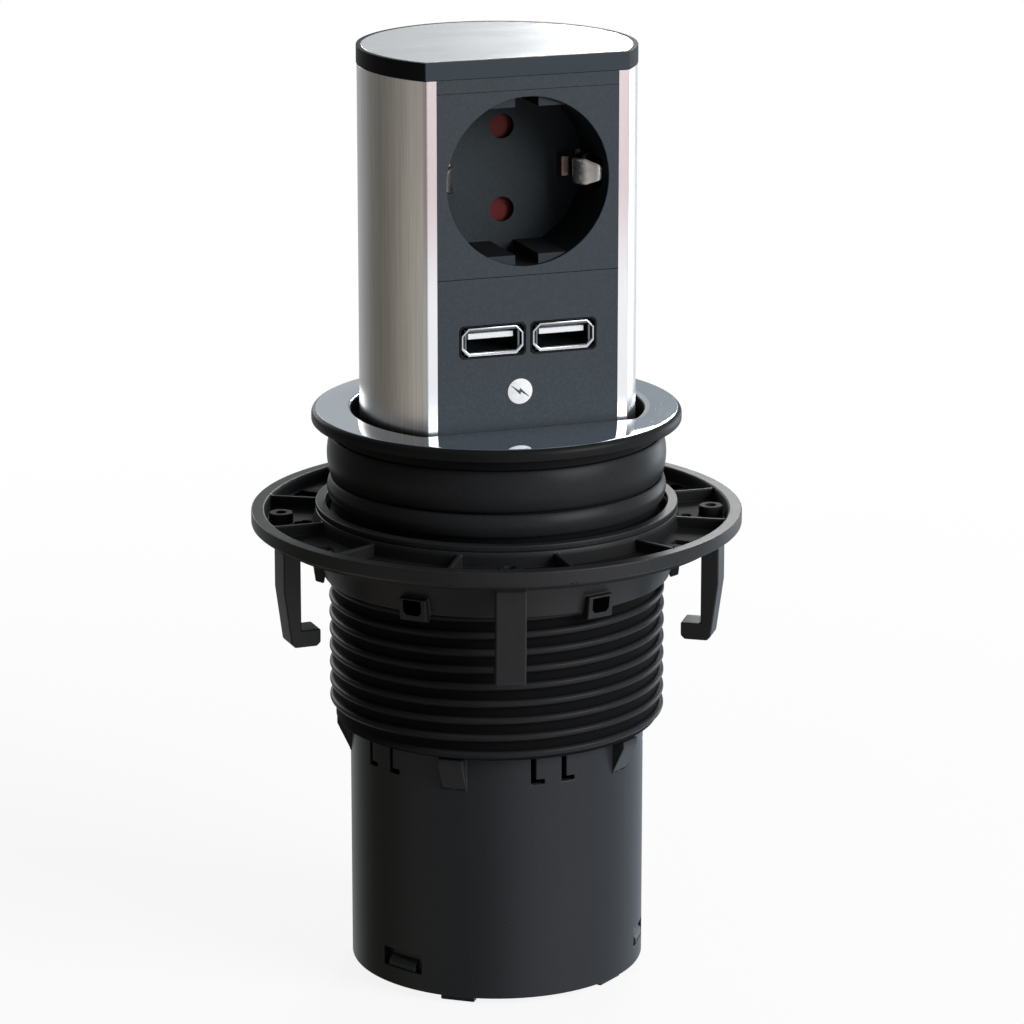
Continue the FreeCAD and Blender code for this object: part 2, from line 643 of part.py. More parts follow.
def guide_sleeve():
    body = new_body("sleeve_body")
    flange_top = COLLAR_TOP - s.neck_depth - s.fit_gap / 2
    flange_under = flange_top - s.sleeve_flange
    revolve(body, [
        (0, SLEEVE_FOOT),
        (SLEEVE_RADIUS, SLEEVE_FOOT),
        (SLEEVE_RADIUS, flange_under),
        (NECK_RADIUS, flange_under),
        (NECK_RADIUS, flange_top),
        (0, flange_top),
    ])
    hole = d_prism("sleeve_hole", s.slide_gap, SLEEVE_FOOT - BEYOND, flange_top + BEYOND)
    middle = (SLEEVE_FOOT + flange_under) / 2
    half_width = s.pad_width / 2
    half_height = (flange_under - SLEEVE_FOOT) / 2 - s.pad_margin
    width = (-half_width, half_width)
    height = (middle - half_height, middle + half_height)
    gap = s.fit_gap
    window = block(
        "pad_window", (TOWER_RADIUS - s.pad_depth, SLEEVE_RADIUS + BEYOND),
        (-half_width - gap, half_width + gap), (height[0] - gap, height[1] + gap),
    )
    windows = [turned(f"pad_window_{number}", window, angle) for number, angle in enumerate(PAD_ANGLES)]
    hollow = front_hollow(
        "sleeve_hollow", SLEEVE_RADIUS, s.slide_gap, SLEEVE_FOOT - BEYOND, flange_top - s.crescent_wall
    )
    part("guide_sleeve", cut("sleeve_cut", body, hole, hollow, *windows))
    inner = SLEEVE_RADIUS - s.leaf_thickness * 3
    pad_block = block("pad_block", (TOWER_RADIUS - s.pad_depth, inner), width, height)
    pads = group("pad_blocks", *[turned(f"pad_{n}", pad_block, angle) for n, angle in enumerate(PAD_ANGLES)])
    clear = d_prism("pad_clear", s.fit_gap / 2, SLEEVE_FOOT, flange_top)
    part("brake_pads", cut("pad_cut", pads, clear))
    leaf_foot = block("leaf_block", (inner, inner + s.leaf_thickness), width, height)
    bump = block(
        "leaf_bump", (inner + s.leaf_thickness, SLEEVE_RADIUS - s.fit_gap), (-half_width / 2, half_width / 2),
        (middle - s.leaf_thickness * 2, middle + s.leaf_thickness * 2),
    )
    leaf = join("leaf", leaf_foot, bump)
    part("brake_springs", group("leaves", *[turned(f"leaf_{n}", leaf, a) for n, a in enumerate(PAD_ANGLES)]))


# Housing tube and bottom cap


def housing_tube():
    body = new_body("housing_tube")
    tube_top = SLEEVE_FOOT - s.fit_gap * 2
    revolve(body, [
        (BORE_RADIUS, TUBE_FOOT),
        (TUBE_RADIUS, TUBE_FOOT),
        (TUBE_RADIUS, tube_top),
        (BORE_RADIUS, tube_top),
    ])
    root = TUBE_RADIUS - s.tube_wall / 2
    wedge_top = COLLAR_FOOT - s.fit_gap
    wedge = outline(new_sketch(body, "wedge", bearing=WEDGE_BEARING + FRONT), [
        (root, wedge_top - s.wedge_height),
        (TUBE_RADIUS, wedge_top - s.wedge_height),
        (TUBE_RADIUS + s.wedge_rise, wedge_top - s.wedge_lip),
        (TUBE_RADIUS + s.wedge_rise, wedge_top),
        (root, wedge_top),
    ])
    around(body, [pad(body, wedge, s.wedge_width, middle=True)], SNAP_COUNT)
    low = wedge_top - s.slit_height
    cuts = []
    for side, name in ((-1, "left"), (1, "right")):
        start = s.slit_pitch / 2 * side
        slit = outline(new_sketch(body, f"slit_{name}", "YZ_Plane", bearing=FRONT), [
            (start, low),
            (start + s.slit_toe, low),
            (start + s.slit_toe, low + s.slit_width),
            (start + s.slit_width, low + s.slit_width),
            (start + s.slit_width, wedge_top),
            (start, wedge_top),
        ])
        cuts.append(pocket(body, slit, flip=True))
    around(body, cuts, SNAP_COUNT)
    window = new_sketch(body, "window", "YZ_Plane", bearing=WINDOW_BEARING + FRONT)
    window_foot = TUBE_FOOT + s.window_base
    rectangle(window, (-s.window_width / 2, s.window_width / 2), (window_foot, window_foot + s.window_height))
    around(body, [pocket(body, window, flip=True)], WINDOW_COUNT)
    part("housing_tube", body)


def bottom_cap():
    body = new_body("bottom_cap")
    outer = BORE_RADIUS - s.fit_gap
    floor_top = TUBE_FOOT + s.floor_thickness
    rim_top = TUBE_FOOT + s.floor_rim
    inner = outer - s.floor_rim_wall
    revolve(body, [
        (s.outlet_radius, TUBE_FOOT),
        (outer, TUBE_FOOT),
        (outer, rim_top),
        (inner, rim_top),
        (inner, floor_top),
        (s.outlet_radius, floor_top),
    ])
    foot = new_sketch(body, "foot", bearing=WEDGE_BEARING + FRONT)
    edge = outer - s.foot_inset
    rectangle(foot, (edge - s.foot_depth, edge), (0, TUBE_FOOT + s.floor_thickness / 2))
    around(body, [pad(body, foot, s.foot_width, middle=True)], SNAP_COUNT)
    snap = new_sketch(body, "snap", bearing=WINDOW_BEARING + FRONT)
    snap_foot = TUBE_FOOT + s.window_base + s.fit_gap
    snap_top = snap_foot + s.window_height - s.snap_gap
    outline(snap, [
        (outer - s.floor_rim_wall / 2, snap_foot),
        (TUBE_RADIUS - s.slide_gap, snap_foot),
        (TUBE_RADIUS - s.slide_gap, snap_foot + s.snap_lip),
        (outer, snap_top),
        (outer - s.floor_rim_wall / 2, snap_top),
    ])
    around(body, [pad(body, snap, s.window_width - s.snap_gap * 2, middle=True)], WINDOW_COUNT)
    part("bottom_cap", body)


# Clamp ring, which turns on the collar's thread


def clamp_ring():
    body = new_body("clamp_ring")
    hub_top = RIM_TOP + s.hub_rise
    skirt_foot = RIM_TOP - s.skirt_depth
    revolve(body, [
        (NUT_BORE, skirt_foot),
        (NUT_BORE + s.skirt_wall, skirt_foot),
        (HUB_RADIUS, WEB_UNDER - s.hub_fillet_height),
        (HUB_RADIUS + s.hub_fillet, WEB_UNDER),
        (RIM_INNER - s.rim_slope, WEB_UNDER),
        (RIM_INNER + s.rim_slope, WEB_TOP),
        (RING_RADIUS, WEB_TOP),
        (RING_RADIUS, RIM_TOP),
        (RIM_INNER, RIM_TOP),
        (RIM_INNER - s.rim_slope, WEB_TOP),
        (HUB_RADIUS + s.hub_slope, WEB_TOP),
        (HUB_RADIUS, hub_top),
        (NUT_BORE, hub_top),
    ])
    rib = new_sketch(body, "rib", bearing=RIB_BEARING + FRONT)
    root = s.rib_root
    rectangle(rib, (HUB_RADIUS - root, RIM_INNER + root), (WEB_TOP - root, RIM_TOP - s.rib_drop))
    around(body, [pad(body, rib, s.rib_thickness, middle=True)], RIB_COUNT)
    boss = new_sketch(body, "boss", "XY_Plane", bearing=HOOK_BEARING + FRONT, lift=(WEB_UNDER + WEB_TOP) / 2)
    circle(boss, BOSS_CIRCLE, 0, s.boss_radius)
    around(body, [pad(body, boss, s.web_thickness / 2 + s.rim_height - s.boss_drop)], BOSS_COUNT)
    catch = new_sketch(body, "catch", bearing=CATCH_BEARING + FRONT)
    catch_foot = skirt_foot - s.catch_drop
    catch_top = catch_foot + s.catch_height
    root = NUT_BORE + s.skirt_wall / 2
    outline(catch, [
        (root, catch_foot + s.catch_slope),
        (NUT_BORE + s.skirt_wall, catch_foot),
        (NUT_BORE + s.catch_rise - s.catch_tip, catch_foot + s.catch_tip),
        (NUT_BORE + s.catch_rise, catch_top),
        (root, catch_top),
    ])
    around(body, [pad(body, catch, s.catch_width, middle=True)], CATCH_COUNT)
    hook = new_sketch(body, "hook", bearing=HOOK_BEARING + FRONT)
    hook_under = RIM_TOP - s.hook_depth
    inner = HOOK_RADIUS - s.hook_thickness
    heel = HOOK_RADIUS - s.hook_draw
    corner = s.hook_round
    outline(hook, [
        (inner - s.hook_toe, hook_under + s.hook_foot),
        (inner - s.hook_toe, hook_under + corner),
        (inner - s.hook_toe + corner, hook_under),
        (heel - corner, hook_under),
        (heel, hook_under + corner),
        (HOOK_RADIUS, WEB_UNDER - s.hook_upright),
        (HOOK_RADIUS, WEB_UNDER + s.web_thickness / 2),
        (inner, WEB_UNDER + s.web_thickness / 2),
        (inner, hook_under + s.hook_foot),
    ])
    around(body, [pad(body, hook, s.hook_width, middle=True)], HOOK_COUNT)
    hole = new_sketch(body, "boss_hole", "XY_Plane", bearing=HOOK_BEARING + FRONT, lift=RIM_TOP)
    circle(hole, BOSS_CIRCLE, 0, s.boss_hole_radius)
    web_hole = new_sketch(body, "web_hole", "XY_Plane", bearing=HOOK_BEARING + FRONT, lift=RIM_TOP)
    circle(web_hole, HUB_RADIUS + s.web_hole_inset, 0, s.boss_hole_radius)
    holes = [pocket(body, sketch, s.boss_hole_depth) for sketch in (hole, web_hole)]
    around(body, holes, BOSS_COUNT)
    slot_start = HUB_RADIUS + s.slot_inset
    for number in (1, 2):
        bearing = HOOK_BEARING + RIB_STEP * number
        slot = new_sketch(body, f"slot_{number}", "XY_Plane", bearing=bearing + FRONT, lift=RIM_TOP)
        rectangle(slot, (slot_start, slot_start + s.slot_length), (-s.slot_width / 2, s.slot_width / 2))
        around(body, [pocket(body, slot, s.boss_hole_depth)], BOSS_COUNT)
    part("clamp_ring", body)


def slip_washer():
    body = new_body("slip_washer")
    foot = RIM_TOP + s.hub_rise + s.fit_gap / 2
    revolve(body, [
        (NUT_BORE, foot),
        (HUB_RADIUS, foot),
        (HUB_RADIUS, foot + s.washer_height),
        (NUT_BORE, foot + s.washer_height),
    ])
    part("slip_washer", body)


# Tower, outside


def top_cap():
    cap = d_prism("cap_solid", s.cap_overhang, CAP_UNDER, TOWER_TOP)
    tray = d_prism("cap_tray", -s.plate_inset, TOWER_TOP - s.plate_height, TOWER_TOP + BEYOND)
    foot = CAP_UNDER - s.filler_height
    behind = -s.skin - s.fit_gap
    plug = d_prism("cap_plug", -s.shell_wall - s.fit_gap, foot, CAP_UNDER + s.fit_gap, front=behind)
    wall = s.cap_wall
    hollow = d_prism("cap_hollow", -s.shell_wall - wall, foot - BEYOND, CAP_UNDER + wall, front=behind - wall)
    part("top_cap", cut("cap_cut", join("cap_join", cap, plug), tray, hollow))
    grow = -s.plate_inset - s.fit_gap / 2
    part("top_plate", d_prism("top_plate_solid", grow, TOWER_TOP - s.plate_height + s.fit_gap / 2, TOWER_TOP))


def aluminium_shell():
    outside = d_prism("shell_outside", 0, FOOT_TOP, CAP_UNDER)
    inside = d_prism("shell_inside", -s.shell_wall, FOOT_TOP - BEYOND, CAP_UNDER + BEYOND)
    reach = TOWER_RADIUS + BEYOND
    half = HALF_FACE + s.fit_gap
    mouth = block("shell_mouth", (-half, half), (-reach, 0), (FOOT_TOP - BEYOND, CAP_UNDER + BEYOND))
    part("aluminium_shell", cut("shell_cut", outside, inside, mouth))


def face_block(name, low, high):
    """A front plate between two levels, with a wider flange that clips behind the shell's lips."""
    tall = (low + s.fit_gap, high)
    lip_back = FACE_Y + s.shell_wall + s.fit_gap
    wide = HALF_FACE + s.clip_width
    plate = block(f"{name}_plate", (-HALF_FACE, HALF_FACE), (FACE_Y, FACE_Y + s.skin), tall)
    flange = block(f"{name}_flange", (-wide, wide), (lip_back, FACE_Y + s.skin), tall)
    return join(f"{name}_front", plate, flange)


def face_filler():
    part("face_filler", face_block("filler", SOCKET_TOP, CAP_UNDER - s.fit_gap))


# Plug socket module


def socket_faceplate():
    plate = face_block("socket", CHARGER_TOP, SOCKET_TOP)
    cup_length = s.recess_depth + s.recess_floor
    cup = rod("cup", CUP_RADIUS, (0, FACE_Y, SOCKET_Z), cup_length, "y")
    bore = rod("cup_bore", s.recess_radius, (0, FACE_Y - BEYOND, SOCKET_Z), s.recess_depth + BEYOND, "y")
    hollow = cut("cup_hollow", join("cup_join", plate, cup), bore)
    keys = []
    for side, name in ((-1, "low"), (1, "high")):
        near = SOCKET_Z + (s.recess_radius - s.key_depth) * side
        far = SOCKET_Z + s.recess_radius * side
        span = (near, far) if side > 0 else (far, near)
        bar = block(
            f"key_bar_{name}", (-s.recess_radius, s.recess_radius), (FACE_Y + s.key_setback, RECESS_Y), span
        )
        inside = rod(
            f"key_round_{name}", s.recess_radius + s.recess_wall / 2, (0, FACE_Y + s.key_setback, SOCKET_Z),
            s.recess_depth - s.key_setback, "y",
        )
        keys.append(overlap(f"key_{name}", bar, inside))
    whole = join("socket_join", hollow, *keys)
    slot = block(
        "key_slots", (-s.key_slot / 2, s.key_slot / 2), (FACE_Y - BEYOND, RECESS_Y),
        (SOCKET_Z - s.recess_radius, SOCKET_Z + s.recess_radius),
    )
    slot_inside = overlap(
        "key_slots_inside", slot,
        rod("key_slots_round", s.recess_radius, (0, FACE_Y - BEYOND, SOCKET_Z), cup_length, "y"),
    )
    holes = [
        rod(
            f"pin_hole_{name}", s.pin_hole_radius, (0, RECESS_Y - BEYOND, SOCKET_Z + s.pin_pitch / 2 * side),
            s.recess_floor + BEYOND * 2, "y",
        )
        for side, name in ((-1, "low"), (1, "high"))
    ]
    half = s.strap_width / 2 + s.fit_gap
    inner = s.recess_radius - s.recess_wall
    reach = CUP_RADIUS + BEYOND
    clip_slots = [
        block(
            f"clip_slot_{name}", span, (FACE_Y + s.strap_setback - s.fit_gap * 2, BASE_Y + BEYOND),
            (SOCKET_Z - half, SOCKET_Z + half),
        )
        for span, name in (((-reach, -inner), "left"), ((inner, reach), "right"))
    ]
    part("socket_faceplate", cut("socket_cut", whole, slot_inside, *holes, *clip_slots))


def shutter_spans():
    """The shutter plate's lower and upper edge, and the underside of its ears, at rest."""
    pin = s.pin_pitch / 2
    cover = s.pin_hole_radius + s.shutter_margin
    return SOCKET_Z - pin - cover, SOCKET_Z + pin + cover + s.shutter_travel, SOCKET_Z - s.ear_height


def socket_base():
    half = CUP_RADIUS
    tall = MODULE_HEIGHT / 2 - s.socket_raise - s.fit_gap * 4
    front = BASE_Y + s.fit_gap / 2
    back = BASE_Y + s.base_depth
    solid = block("base_block", (-half, half), (front, back), (SOCKET_Z - tall, SOCKET_Z + tall))
    well = s.shutter_thickness + s.slide_gap * 2
    low, high, ear = shutter_spans()
    shutter_space = block(
        "shutter_space", (-s.shutter_width / 2 - s.fit_gap, s.shutter_width / 2 + s.fit_gap),
        (front - BEYOND, front + well), (low - s.shutter_travel - s.slide_gap, high + s.slide_gap),
    )
    reach = s.shutter_width / 2 + s.ear_width + s.fit_gap
    ear_space = block(
        "ear_space", (-reach, reach), (front - BEYOND, front + s.spring_radius * 2 + s.slide_gap * 2),
        (spring_foot() - s.fit_gap, ear + s.ear_height + s.slide_gap),
    )
    bores = [
        rod(f"contact_bore_{n}", s.contact_radius + s.fit_gap, (0, front, SOCKET_Z + s.pin_pitch / 2 * side),
            s.base_depth + BEYOND, "y")
        for side, n in ((-1, "low"), (1, "high"))
    ]
    strap_half = s.strap_width / 2 + s.fit_gap
    strap_gap = s.strap_thickness + s.fit_gap * 2
    height = (SOCKET_Z - strap_half, SOCKET_Z + strap_half)
    reach = half + BEYOND
    grooves = [
        block(f"strap_groove_{n}", x, (front - BEYOND, back + BEYOND), height)
        for n, x in (("left", (-reach, -half + strap_gap)), ("right", (half - strap_gap, reach)))
    ]
    back_groove = block("strap_groove_back", (-reach, reach), (back - strap_gap, back + BEYOND), height)
    part("socket_base", cut("base_cut", solid, shutter_space, ear_space, *bores, *grooves, back_groove))


def spring_foot():
    """The ledge of the base that the shutter springs stand on."""
    return SOCKET_Z - MODULE_HEIGHT / 2 + s.socket_raise + s.spring_ledge


def earth_strap():
    half = CUP_RADIUS
    back = BASE_Y + s.base_depth
    tall = (SOCKET_Z - s.strap_width / 2, SOCKET_Z + s.strap_width / 2)
    metal = s.strap_thickness
    bridge = block("strap_bridge", (-half, half), (back - metal, back), tall)
    arms = []
    front = FACE_Y + s.strap_setback
    bend = front + s.strap_tongue
    for side, name in ((-1, "left"), (1, "right")):
        outer = half * side
        inner = outer - metal * side
        tip = (s.recess_radius - s.strap_reach) * side
        pieces = (
            ("arm", (outer, inner), (bend - metal, back)),
            ("tip", (outer, tip), (bend - metal, bend)),
            ("tongue", (tip + metal * side, tip), (front, bend)),
        )
        for place_name, x, y in pieces:
            arms.append(block(f"strap_{place_name}_{name}", x if side < 0 else x[::-1], y, tall))
    part("earth_strap", join("strap_join", bridge, *arms))


def line_contacts():
    pair = []
    start = BASE_Y + s.shutter_thickness + s.slide_gap * 3
    length = BASE_Y + s.base_depth - s.contact_back - start
    for side, name in ((-1, "low"), (1, "high")):
        z = SOCKET_Z + s.pin_pitch / 2 * side
        barrel = rod(f"barrel_{name}", s.contact_radius, (0, start, z), length, "y")
        bore = rod(
            f"barrel_bore_{name}", s.contact_radius - s.contact_wall, (0, start - BEYOND, z),
            length + BEYOND - s.contact_wall, "y",
        )
        reach = s.contact_radius + BEYOND
        slit = block(
            f"barrel_slit_{name}", (-reach, reach), (start - BEYOND, start + s.contact_slit_length),
            (z - s.contact_slit / 2, z + s.contact_slit / 2),
        )
        pair.append(cut(f"contact_{name}", barrel, bore, slit))
    part("line_contacts", group("contact_pair", *pair))


def pin_shutter():
    front = BASE_Y + s.fit_gap / 2 + s.slide_gap
    depth = (front, front + s.shutter_thickness)
    low, high, ear = shutter_spans()
    half = s.shutter_width / 2
    reach = half + s.ear_width
    plate = block("shutter_plate", (-half, half), depth, (low, high))
    ears = block("shutter_ears", (-reach, reach), depth, (ear, ear + s.ear_height))
    windows = [
        rod(
            f"shutter_window_{name}", s.pin_hole_radius + s.fit_gap,
            (0, front - BEYOND, SOCKET_Z + s.shutter_travel + s.pin_pitch / 2 * side),
            s.shutter_thickness + BEYOND * 2, "y",
        )
        for side, name in ((-1, "low"), (1, "high"))
    ]
    part("pin_shutter", cut("shutter_cut", join("shutter_join", plate, ears), *windows))


def shutter_springs():
    foot = spring_foot()
    length = shutter_spans()[2] - foot
    y = BASE_Y + s.fit_gap / 2 + s.slide_gap + s.spring_radius
    pair = []
    for side, name in ((-1, "left"), (1, "right")):
        x = (s.shutter_width / 2 + s.spring_radius + s.fit_gap * 3) * side
        outer = rod(f"spring_outer_{name}", s.spring_radius, (x, y, foot), length)
        inner = rod(
            f"spring_inner_{name}", s.spring_radius - s.spring_wire, (x, y, foot - BEYOND), length + BEYOND * 2
        )
        pair.append(cut(f"spring_{name}", outer, inner))
    part("shutter_springs", group("spring_pair", *pair))


# Charging module


def octagon(name, width, height, corner, low, high, x):
    """An eight-sided bar along Y, made by cutting the corners of a box."""
    bar = block(
        f"{name}_bar", (x - width / 2, x + width / 2), (low, high), (PORT_Z - height / 2, PORT_Z + height / 2)
    )
    diamond = doc.addObject("Part::Box", f"{name}_diamond")
    side = (width / 2 + height / 2 - corner) * (2.0**0.5)
    bind(diamond, Length=side, Width=high - low, Height=side)
    place(diamond, x, low, PORT_Z - side * (0.5**0.5), axis=(0, 1, 0), angle=-45)
    return overlap(name, bar, diamond)


def charger_module():
    plate = face_block("charger", BLANK_TOP, CHARGER_TOP)
    openings = []
    trims = []
    shells = []
    tongues = []
    back = FACE_Y + s.trim_depth
    half_w = s.port_width / 2
    half_h = s.port_height / 2
    trim_width = s.port_width + s.trim_side * 2
    trim_height = s.port_height + s.trim_rise * 2
    for side, name in ((-1, "left"), (1, "right")):
        x = (trim_width + s.port_spacing) / 2 * side
        gap = s.fit_gap
        hole_x = (x - half_w - gap, x + half_w + gap)
        hole_z = (PORT_Z - half_h - gap, PORT_Z + half_h + gap)
        outer = octagon(
            f"trim_seat_{name}", trim_width + gap, trim_height + gap, s.trim_corner, FACE_Y - BEYOND, back, x
        )
        through = block(f"port_through_{name}", hole_x, (FACE_Y - BEYOND, FACE_Y + s.skin + BEYOND), hole_z)
        openings += [outer, through]
        ring = octagon(f"trim_ring_{name}", trim_width, trim_height, s.trim_corner, FACE_Y, back - gap / 2, x)
        hole = block(f"trim_hole_{name}", hole_x, (FACE_Y - BEYOND, back + BEYOND), hole_z)
        trims.append(cut(f"trim_{name}", ring, hole))
        front = FACE_Y + s.port_setback
        back_wall = front + s.port_length
        can = block(
            f"can_{name}", (x - half_w, x + half_w), (front, back_wall), (PORT_Z - half_h, PORT_Z + half_h)
        )
        wall = s.port_wall
        room = block(
            f"can_room_{name}", (x - half_w + wall, x + half_w - wall), (front - BEYOND, back_wall - wall),
            (PORT_Z - half_h + wall, PORT_Z + half_h - wall),
        )
        shells.append(cut(f"shell_{name}", can, room))
        tongue_top = PORT_Z + half_h - wall - s.tongue_inset
        tongue_half = half_w - wall - s.tongue_inset
        tongues.append(block(
            f"tongue_{name}", (x - tongue_half, x + tongue_half),
            (front + s.tongue_setback, back_wall - wall), (tongue_top - s.tongue_height, tongue_top),
        ))
    part("charger_faceplate", cut("charger_cut", plate, *openings))
    part("port_trims", group("trim_pair", *trims))
    part("port_shells", group("shell_pair", *shells))
    part("port_tongues", group("tongue_pair", *tongues))


def circuit_board():
    front = FACE_Y + s.port_setback + s.port_length + s.fit_gap / 2
    back = front + s.board_thickness
    half = CUP_RADIUS - s.board_side
    margin = s.board_margin
    height = (BLANK_TOP + margin, CHARGER_TOP - margin)
    part("charger_board", block("board", (-half, half), (front, back), height))
    rear = CARRIER_Y - s.fit_gap
    core_half = s.core_width / 2
    centre_z = BLANK_TOP + s.core_rise
    left = -half + s.core_side
    height = (centre_z - core_half, centre_z + core_half)
    part("charger_transformer", block("core", (left, left + s.core_width), (back, rear), height))
    beside = half - s.capacitor_side - s.capacitor_radius
    can = rod("capacitor", s.capacitor_radius, (beside, back, centre_z), rear - back, "y")
    part("charger_capacitor", can)


def blank_plate():
    part("blank_plate", face_block("lowest", FOOT_TOP - s.fit_gap, BLANK_TOP))


# Tower, inside and foot


def inner_carrier():
    half = CUP_RADIUS - s.carrier_inset
    thick = s.carrier_thickness
    low = FOOT_TOP + s.fit_gap
    high = CAP_UNDER - s.filler_height - s.fit_gap
    web = block("carrier_web", (-half, half), (CARRIER_Y, CARRIER_Y + thick), (low, high))
    sides = [
        block(f"carrier_side_{n}", x, (CARRIER_Y, CARRIER_Y + s.carrier_flange), (low, high))
        for n, x in (("left", (-half, -half + thick)), ("right", (half - thick, half)))
    ]
    part("inner_carrier", join("carrier_join", web, *sides))


def terminal_block():
    low = FOOT_TOP + s.terminal_foot
    high = BLANK_TOP - s.terminal_head
    half = s.terminal_width / 2
    front = CARRIER_Y - s.terminal_depth
    body = block("terminal_body", (-half, half), (front, CARRIER_Y - s.fit_gap), (low, high))
    part("terminal_block", body)
    head = s.terminal_screw
    start = front - head
    middle = (low + high) / 2
    screws = [
        rod(f"block_screw_{n + 1}", s.screw_radius, (s.terminal_pitch * n, start, middle), head, "y")
        for n in (-1, 0, 1)
    ]
    part("terminal_block_screws", group("block_screws", *screws))


def tower_foot():
    plate = d_prism("foot_plate", 0, TOWER_FOOT, FOOT_TOP)
    lug_round = rod("lug_round", BORE_RADIUS - s.slide_gap, (0, 0, TOWER_FOOT), s.foot_height)
    half = s.lug_width / 2
    bar = block("lug_bar", (s.tower_flat, TUBE_RADIUS), (-half, half), (TOWER_FOOT, FOOT_TOP))
    lugs = [
        overlap(f"lug_{n}", turned(f"lug_bar_{n}", bar, angle), lug_round) for n, angle in enumerate(LUG_ANGLES)
    ]
    front = block("lug_front", (-half, half), (FACE_Y - s.front_lug, FACE_Y + BEYOND), (TOWER_FOOT, FOOT_TOP))
    hole = rod("cord_hole", s.cord_hole_radius, (0, CORD_Y, TOWER_FOOT - BEYOND), s.foot_height + BEYOND * 2)
    part("tower_foot", cut("foot_cut", join("foot_join", plate, front, *lugs), hole))


def cord_clamp():
    low = FOOT_TOP + s.fit_gap
    half = s.clamp_width / 2
    near = CORD_Y - s.clamp_depth / 4
    bar = block("clamp_bar", (-half, half), (near, near + s.clamp_depth), (low, low + s.clamp_height))
    radius = s.cord_hole_radius - s.fit_gap * 2
    start = (0, near - s.clamp_depth / 4, low - BEYOND)
    notch = rod("clamp_notch", radius, start, s.clamp_height + BEYOND * 2)
    part("cord_clamp", cut("clamp_cut", bar, notch))


for make in (
    bezel_ring, bezel_gasket, threaded_collar, guide_sleeve, housing_tube, bottom_cap,
    clamp_ring, slip_washer, top_cap, aluminium_shell, face_filler, socket_faceplate,
    socket_base, earth_strap, line_contacts, pin_shutter, shutter_springs, charger_module,
    circuit_board, blank_plate, inner_carrier, terminal_block, tower_foot, cord_clamp,
):
    make()

doc.recompute()
for thing in doc.Objects:
    if "Invalid" in thing.State or "Error" in thing.State:
        raise RuntimeError(f"{thing.Label} failed to rebuild")
for piece in PIECES:
    if piece.Shape.isNull() or not piece.Shape.isValid() or not piece.Shape.Solids:
        raise RuntimeError(f"{piece.Label} is not a sound solid")

os.makedirs("parts", exist_ok=True)
for piece in PIECES:
    piece.Shape.exportStep(f"parts/{piece.Label}.step")
    print(piece.Label, len(piece.Shape.Solids), round(piece.Shape.Volume, 1))
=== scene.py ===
import math

import bmesh
import bpy
import numpy as np
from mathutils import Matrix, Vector


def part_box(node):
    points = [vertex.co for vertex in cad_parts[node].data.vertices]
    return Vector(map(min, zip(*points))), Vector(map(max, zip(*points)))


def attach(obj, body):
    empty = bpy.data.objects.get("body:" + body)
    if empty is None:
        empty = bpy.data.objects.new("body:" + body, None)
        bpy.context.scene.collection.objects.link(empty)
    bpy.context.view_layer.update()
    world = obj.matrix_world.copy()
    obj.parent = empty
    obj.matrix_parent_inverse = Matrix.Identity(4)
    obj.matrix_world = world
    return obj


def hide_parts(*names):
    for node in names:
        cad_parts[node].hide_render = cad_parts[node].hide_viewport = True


bl_info = {
    "name": "Pop-up desk socket",
    "version": (1, 0, 0),
    "blender": (4, 5, 0),
    "location": "3D View > Sidebar > Desk socket",
    "description": "Dresses the packed desk socket with moulded, brushed and plated finishes",
    "category": "Add Mesh",
}

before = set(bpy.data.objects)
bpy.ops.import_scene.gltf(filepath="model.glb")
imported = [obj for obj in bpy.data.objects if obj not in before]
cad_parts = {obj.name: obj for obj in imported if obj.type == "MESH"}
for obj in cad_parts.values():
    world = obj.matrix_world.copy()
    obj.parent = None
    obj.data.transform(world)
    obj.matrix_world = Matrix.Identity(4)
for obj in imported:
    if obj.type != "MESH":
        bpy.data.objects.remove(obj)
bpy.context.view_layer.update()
MM = 0.001

# Corners of the boxes of CAD nodes, in millimetres

BEZEL_LOW, BEZEL_HIGH = (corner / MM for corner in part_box("bezel_ring"))
COLLAR_LOW, COLLAR_HIGH = (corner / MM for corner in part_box("threaded_collar"))
PORT_LOW, PORT_HIGH = (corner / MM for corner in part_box("port_trims"))
STRAP_LOW, STRAP_HIGH = (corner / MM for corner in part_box("earth_strap"))
SHELL_LOW, SHELL_HIGH = (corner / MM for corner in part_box("aluminium_shell"))

# The tower's D-shaped section, in millimetres: the round side's radius, how far its middle lies towards the
# face, and the place of the flat face. Then the radii of the plug recess, of the collar's wall under the
# thread and of the seat of the bezel's gasket.

TOWER_RADIUS = 31.5
TOWER_SHIFT = 0.6
FACE_Y = -21.25
RECESS_RADIUS = 19.07
COLLAR_WALL = 37.3
GASKET_SEAT = 37.8


# Sizes and colours


class SocketSizes(bpy.types.PropertyGroup):
    """The sizes that a user may change, in metres."""

    thread_pitch: bpy.props.FloatProperty(
        name="Thread pitch", description="Rise of the collar's thread in one turn", default=0.004,
        unit="LENGTH",
    )
    thread_height: bpy.props.FloatProperty(
        name="Thread height", description="Height of a thread ridge over the collar's wall", default=0.0014,
        unit="LENGTH",
    )
    bezel_rounding: bpy.props.FloatProperty(
        name="Bezel rounding", description="Radius of the bezel's outer edge", default=0.0014, unit="LENGTH"
    )
    sign_radius: bpy.props.FloatProperty(
        name="Sign radius", description="Radius of the printed charging sign", default=0.0029, unit="LENGTH"
    )
    edge_width: bpy.props.FloatProperty(
        name="Edge width", description="Rounding of the moulded edges", default=0.00025, unit="LENGTH"
    )


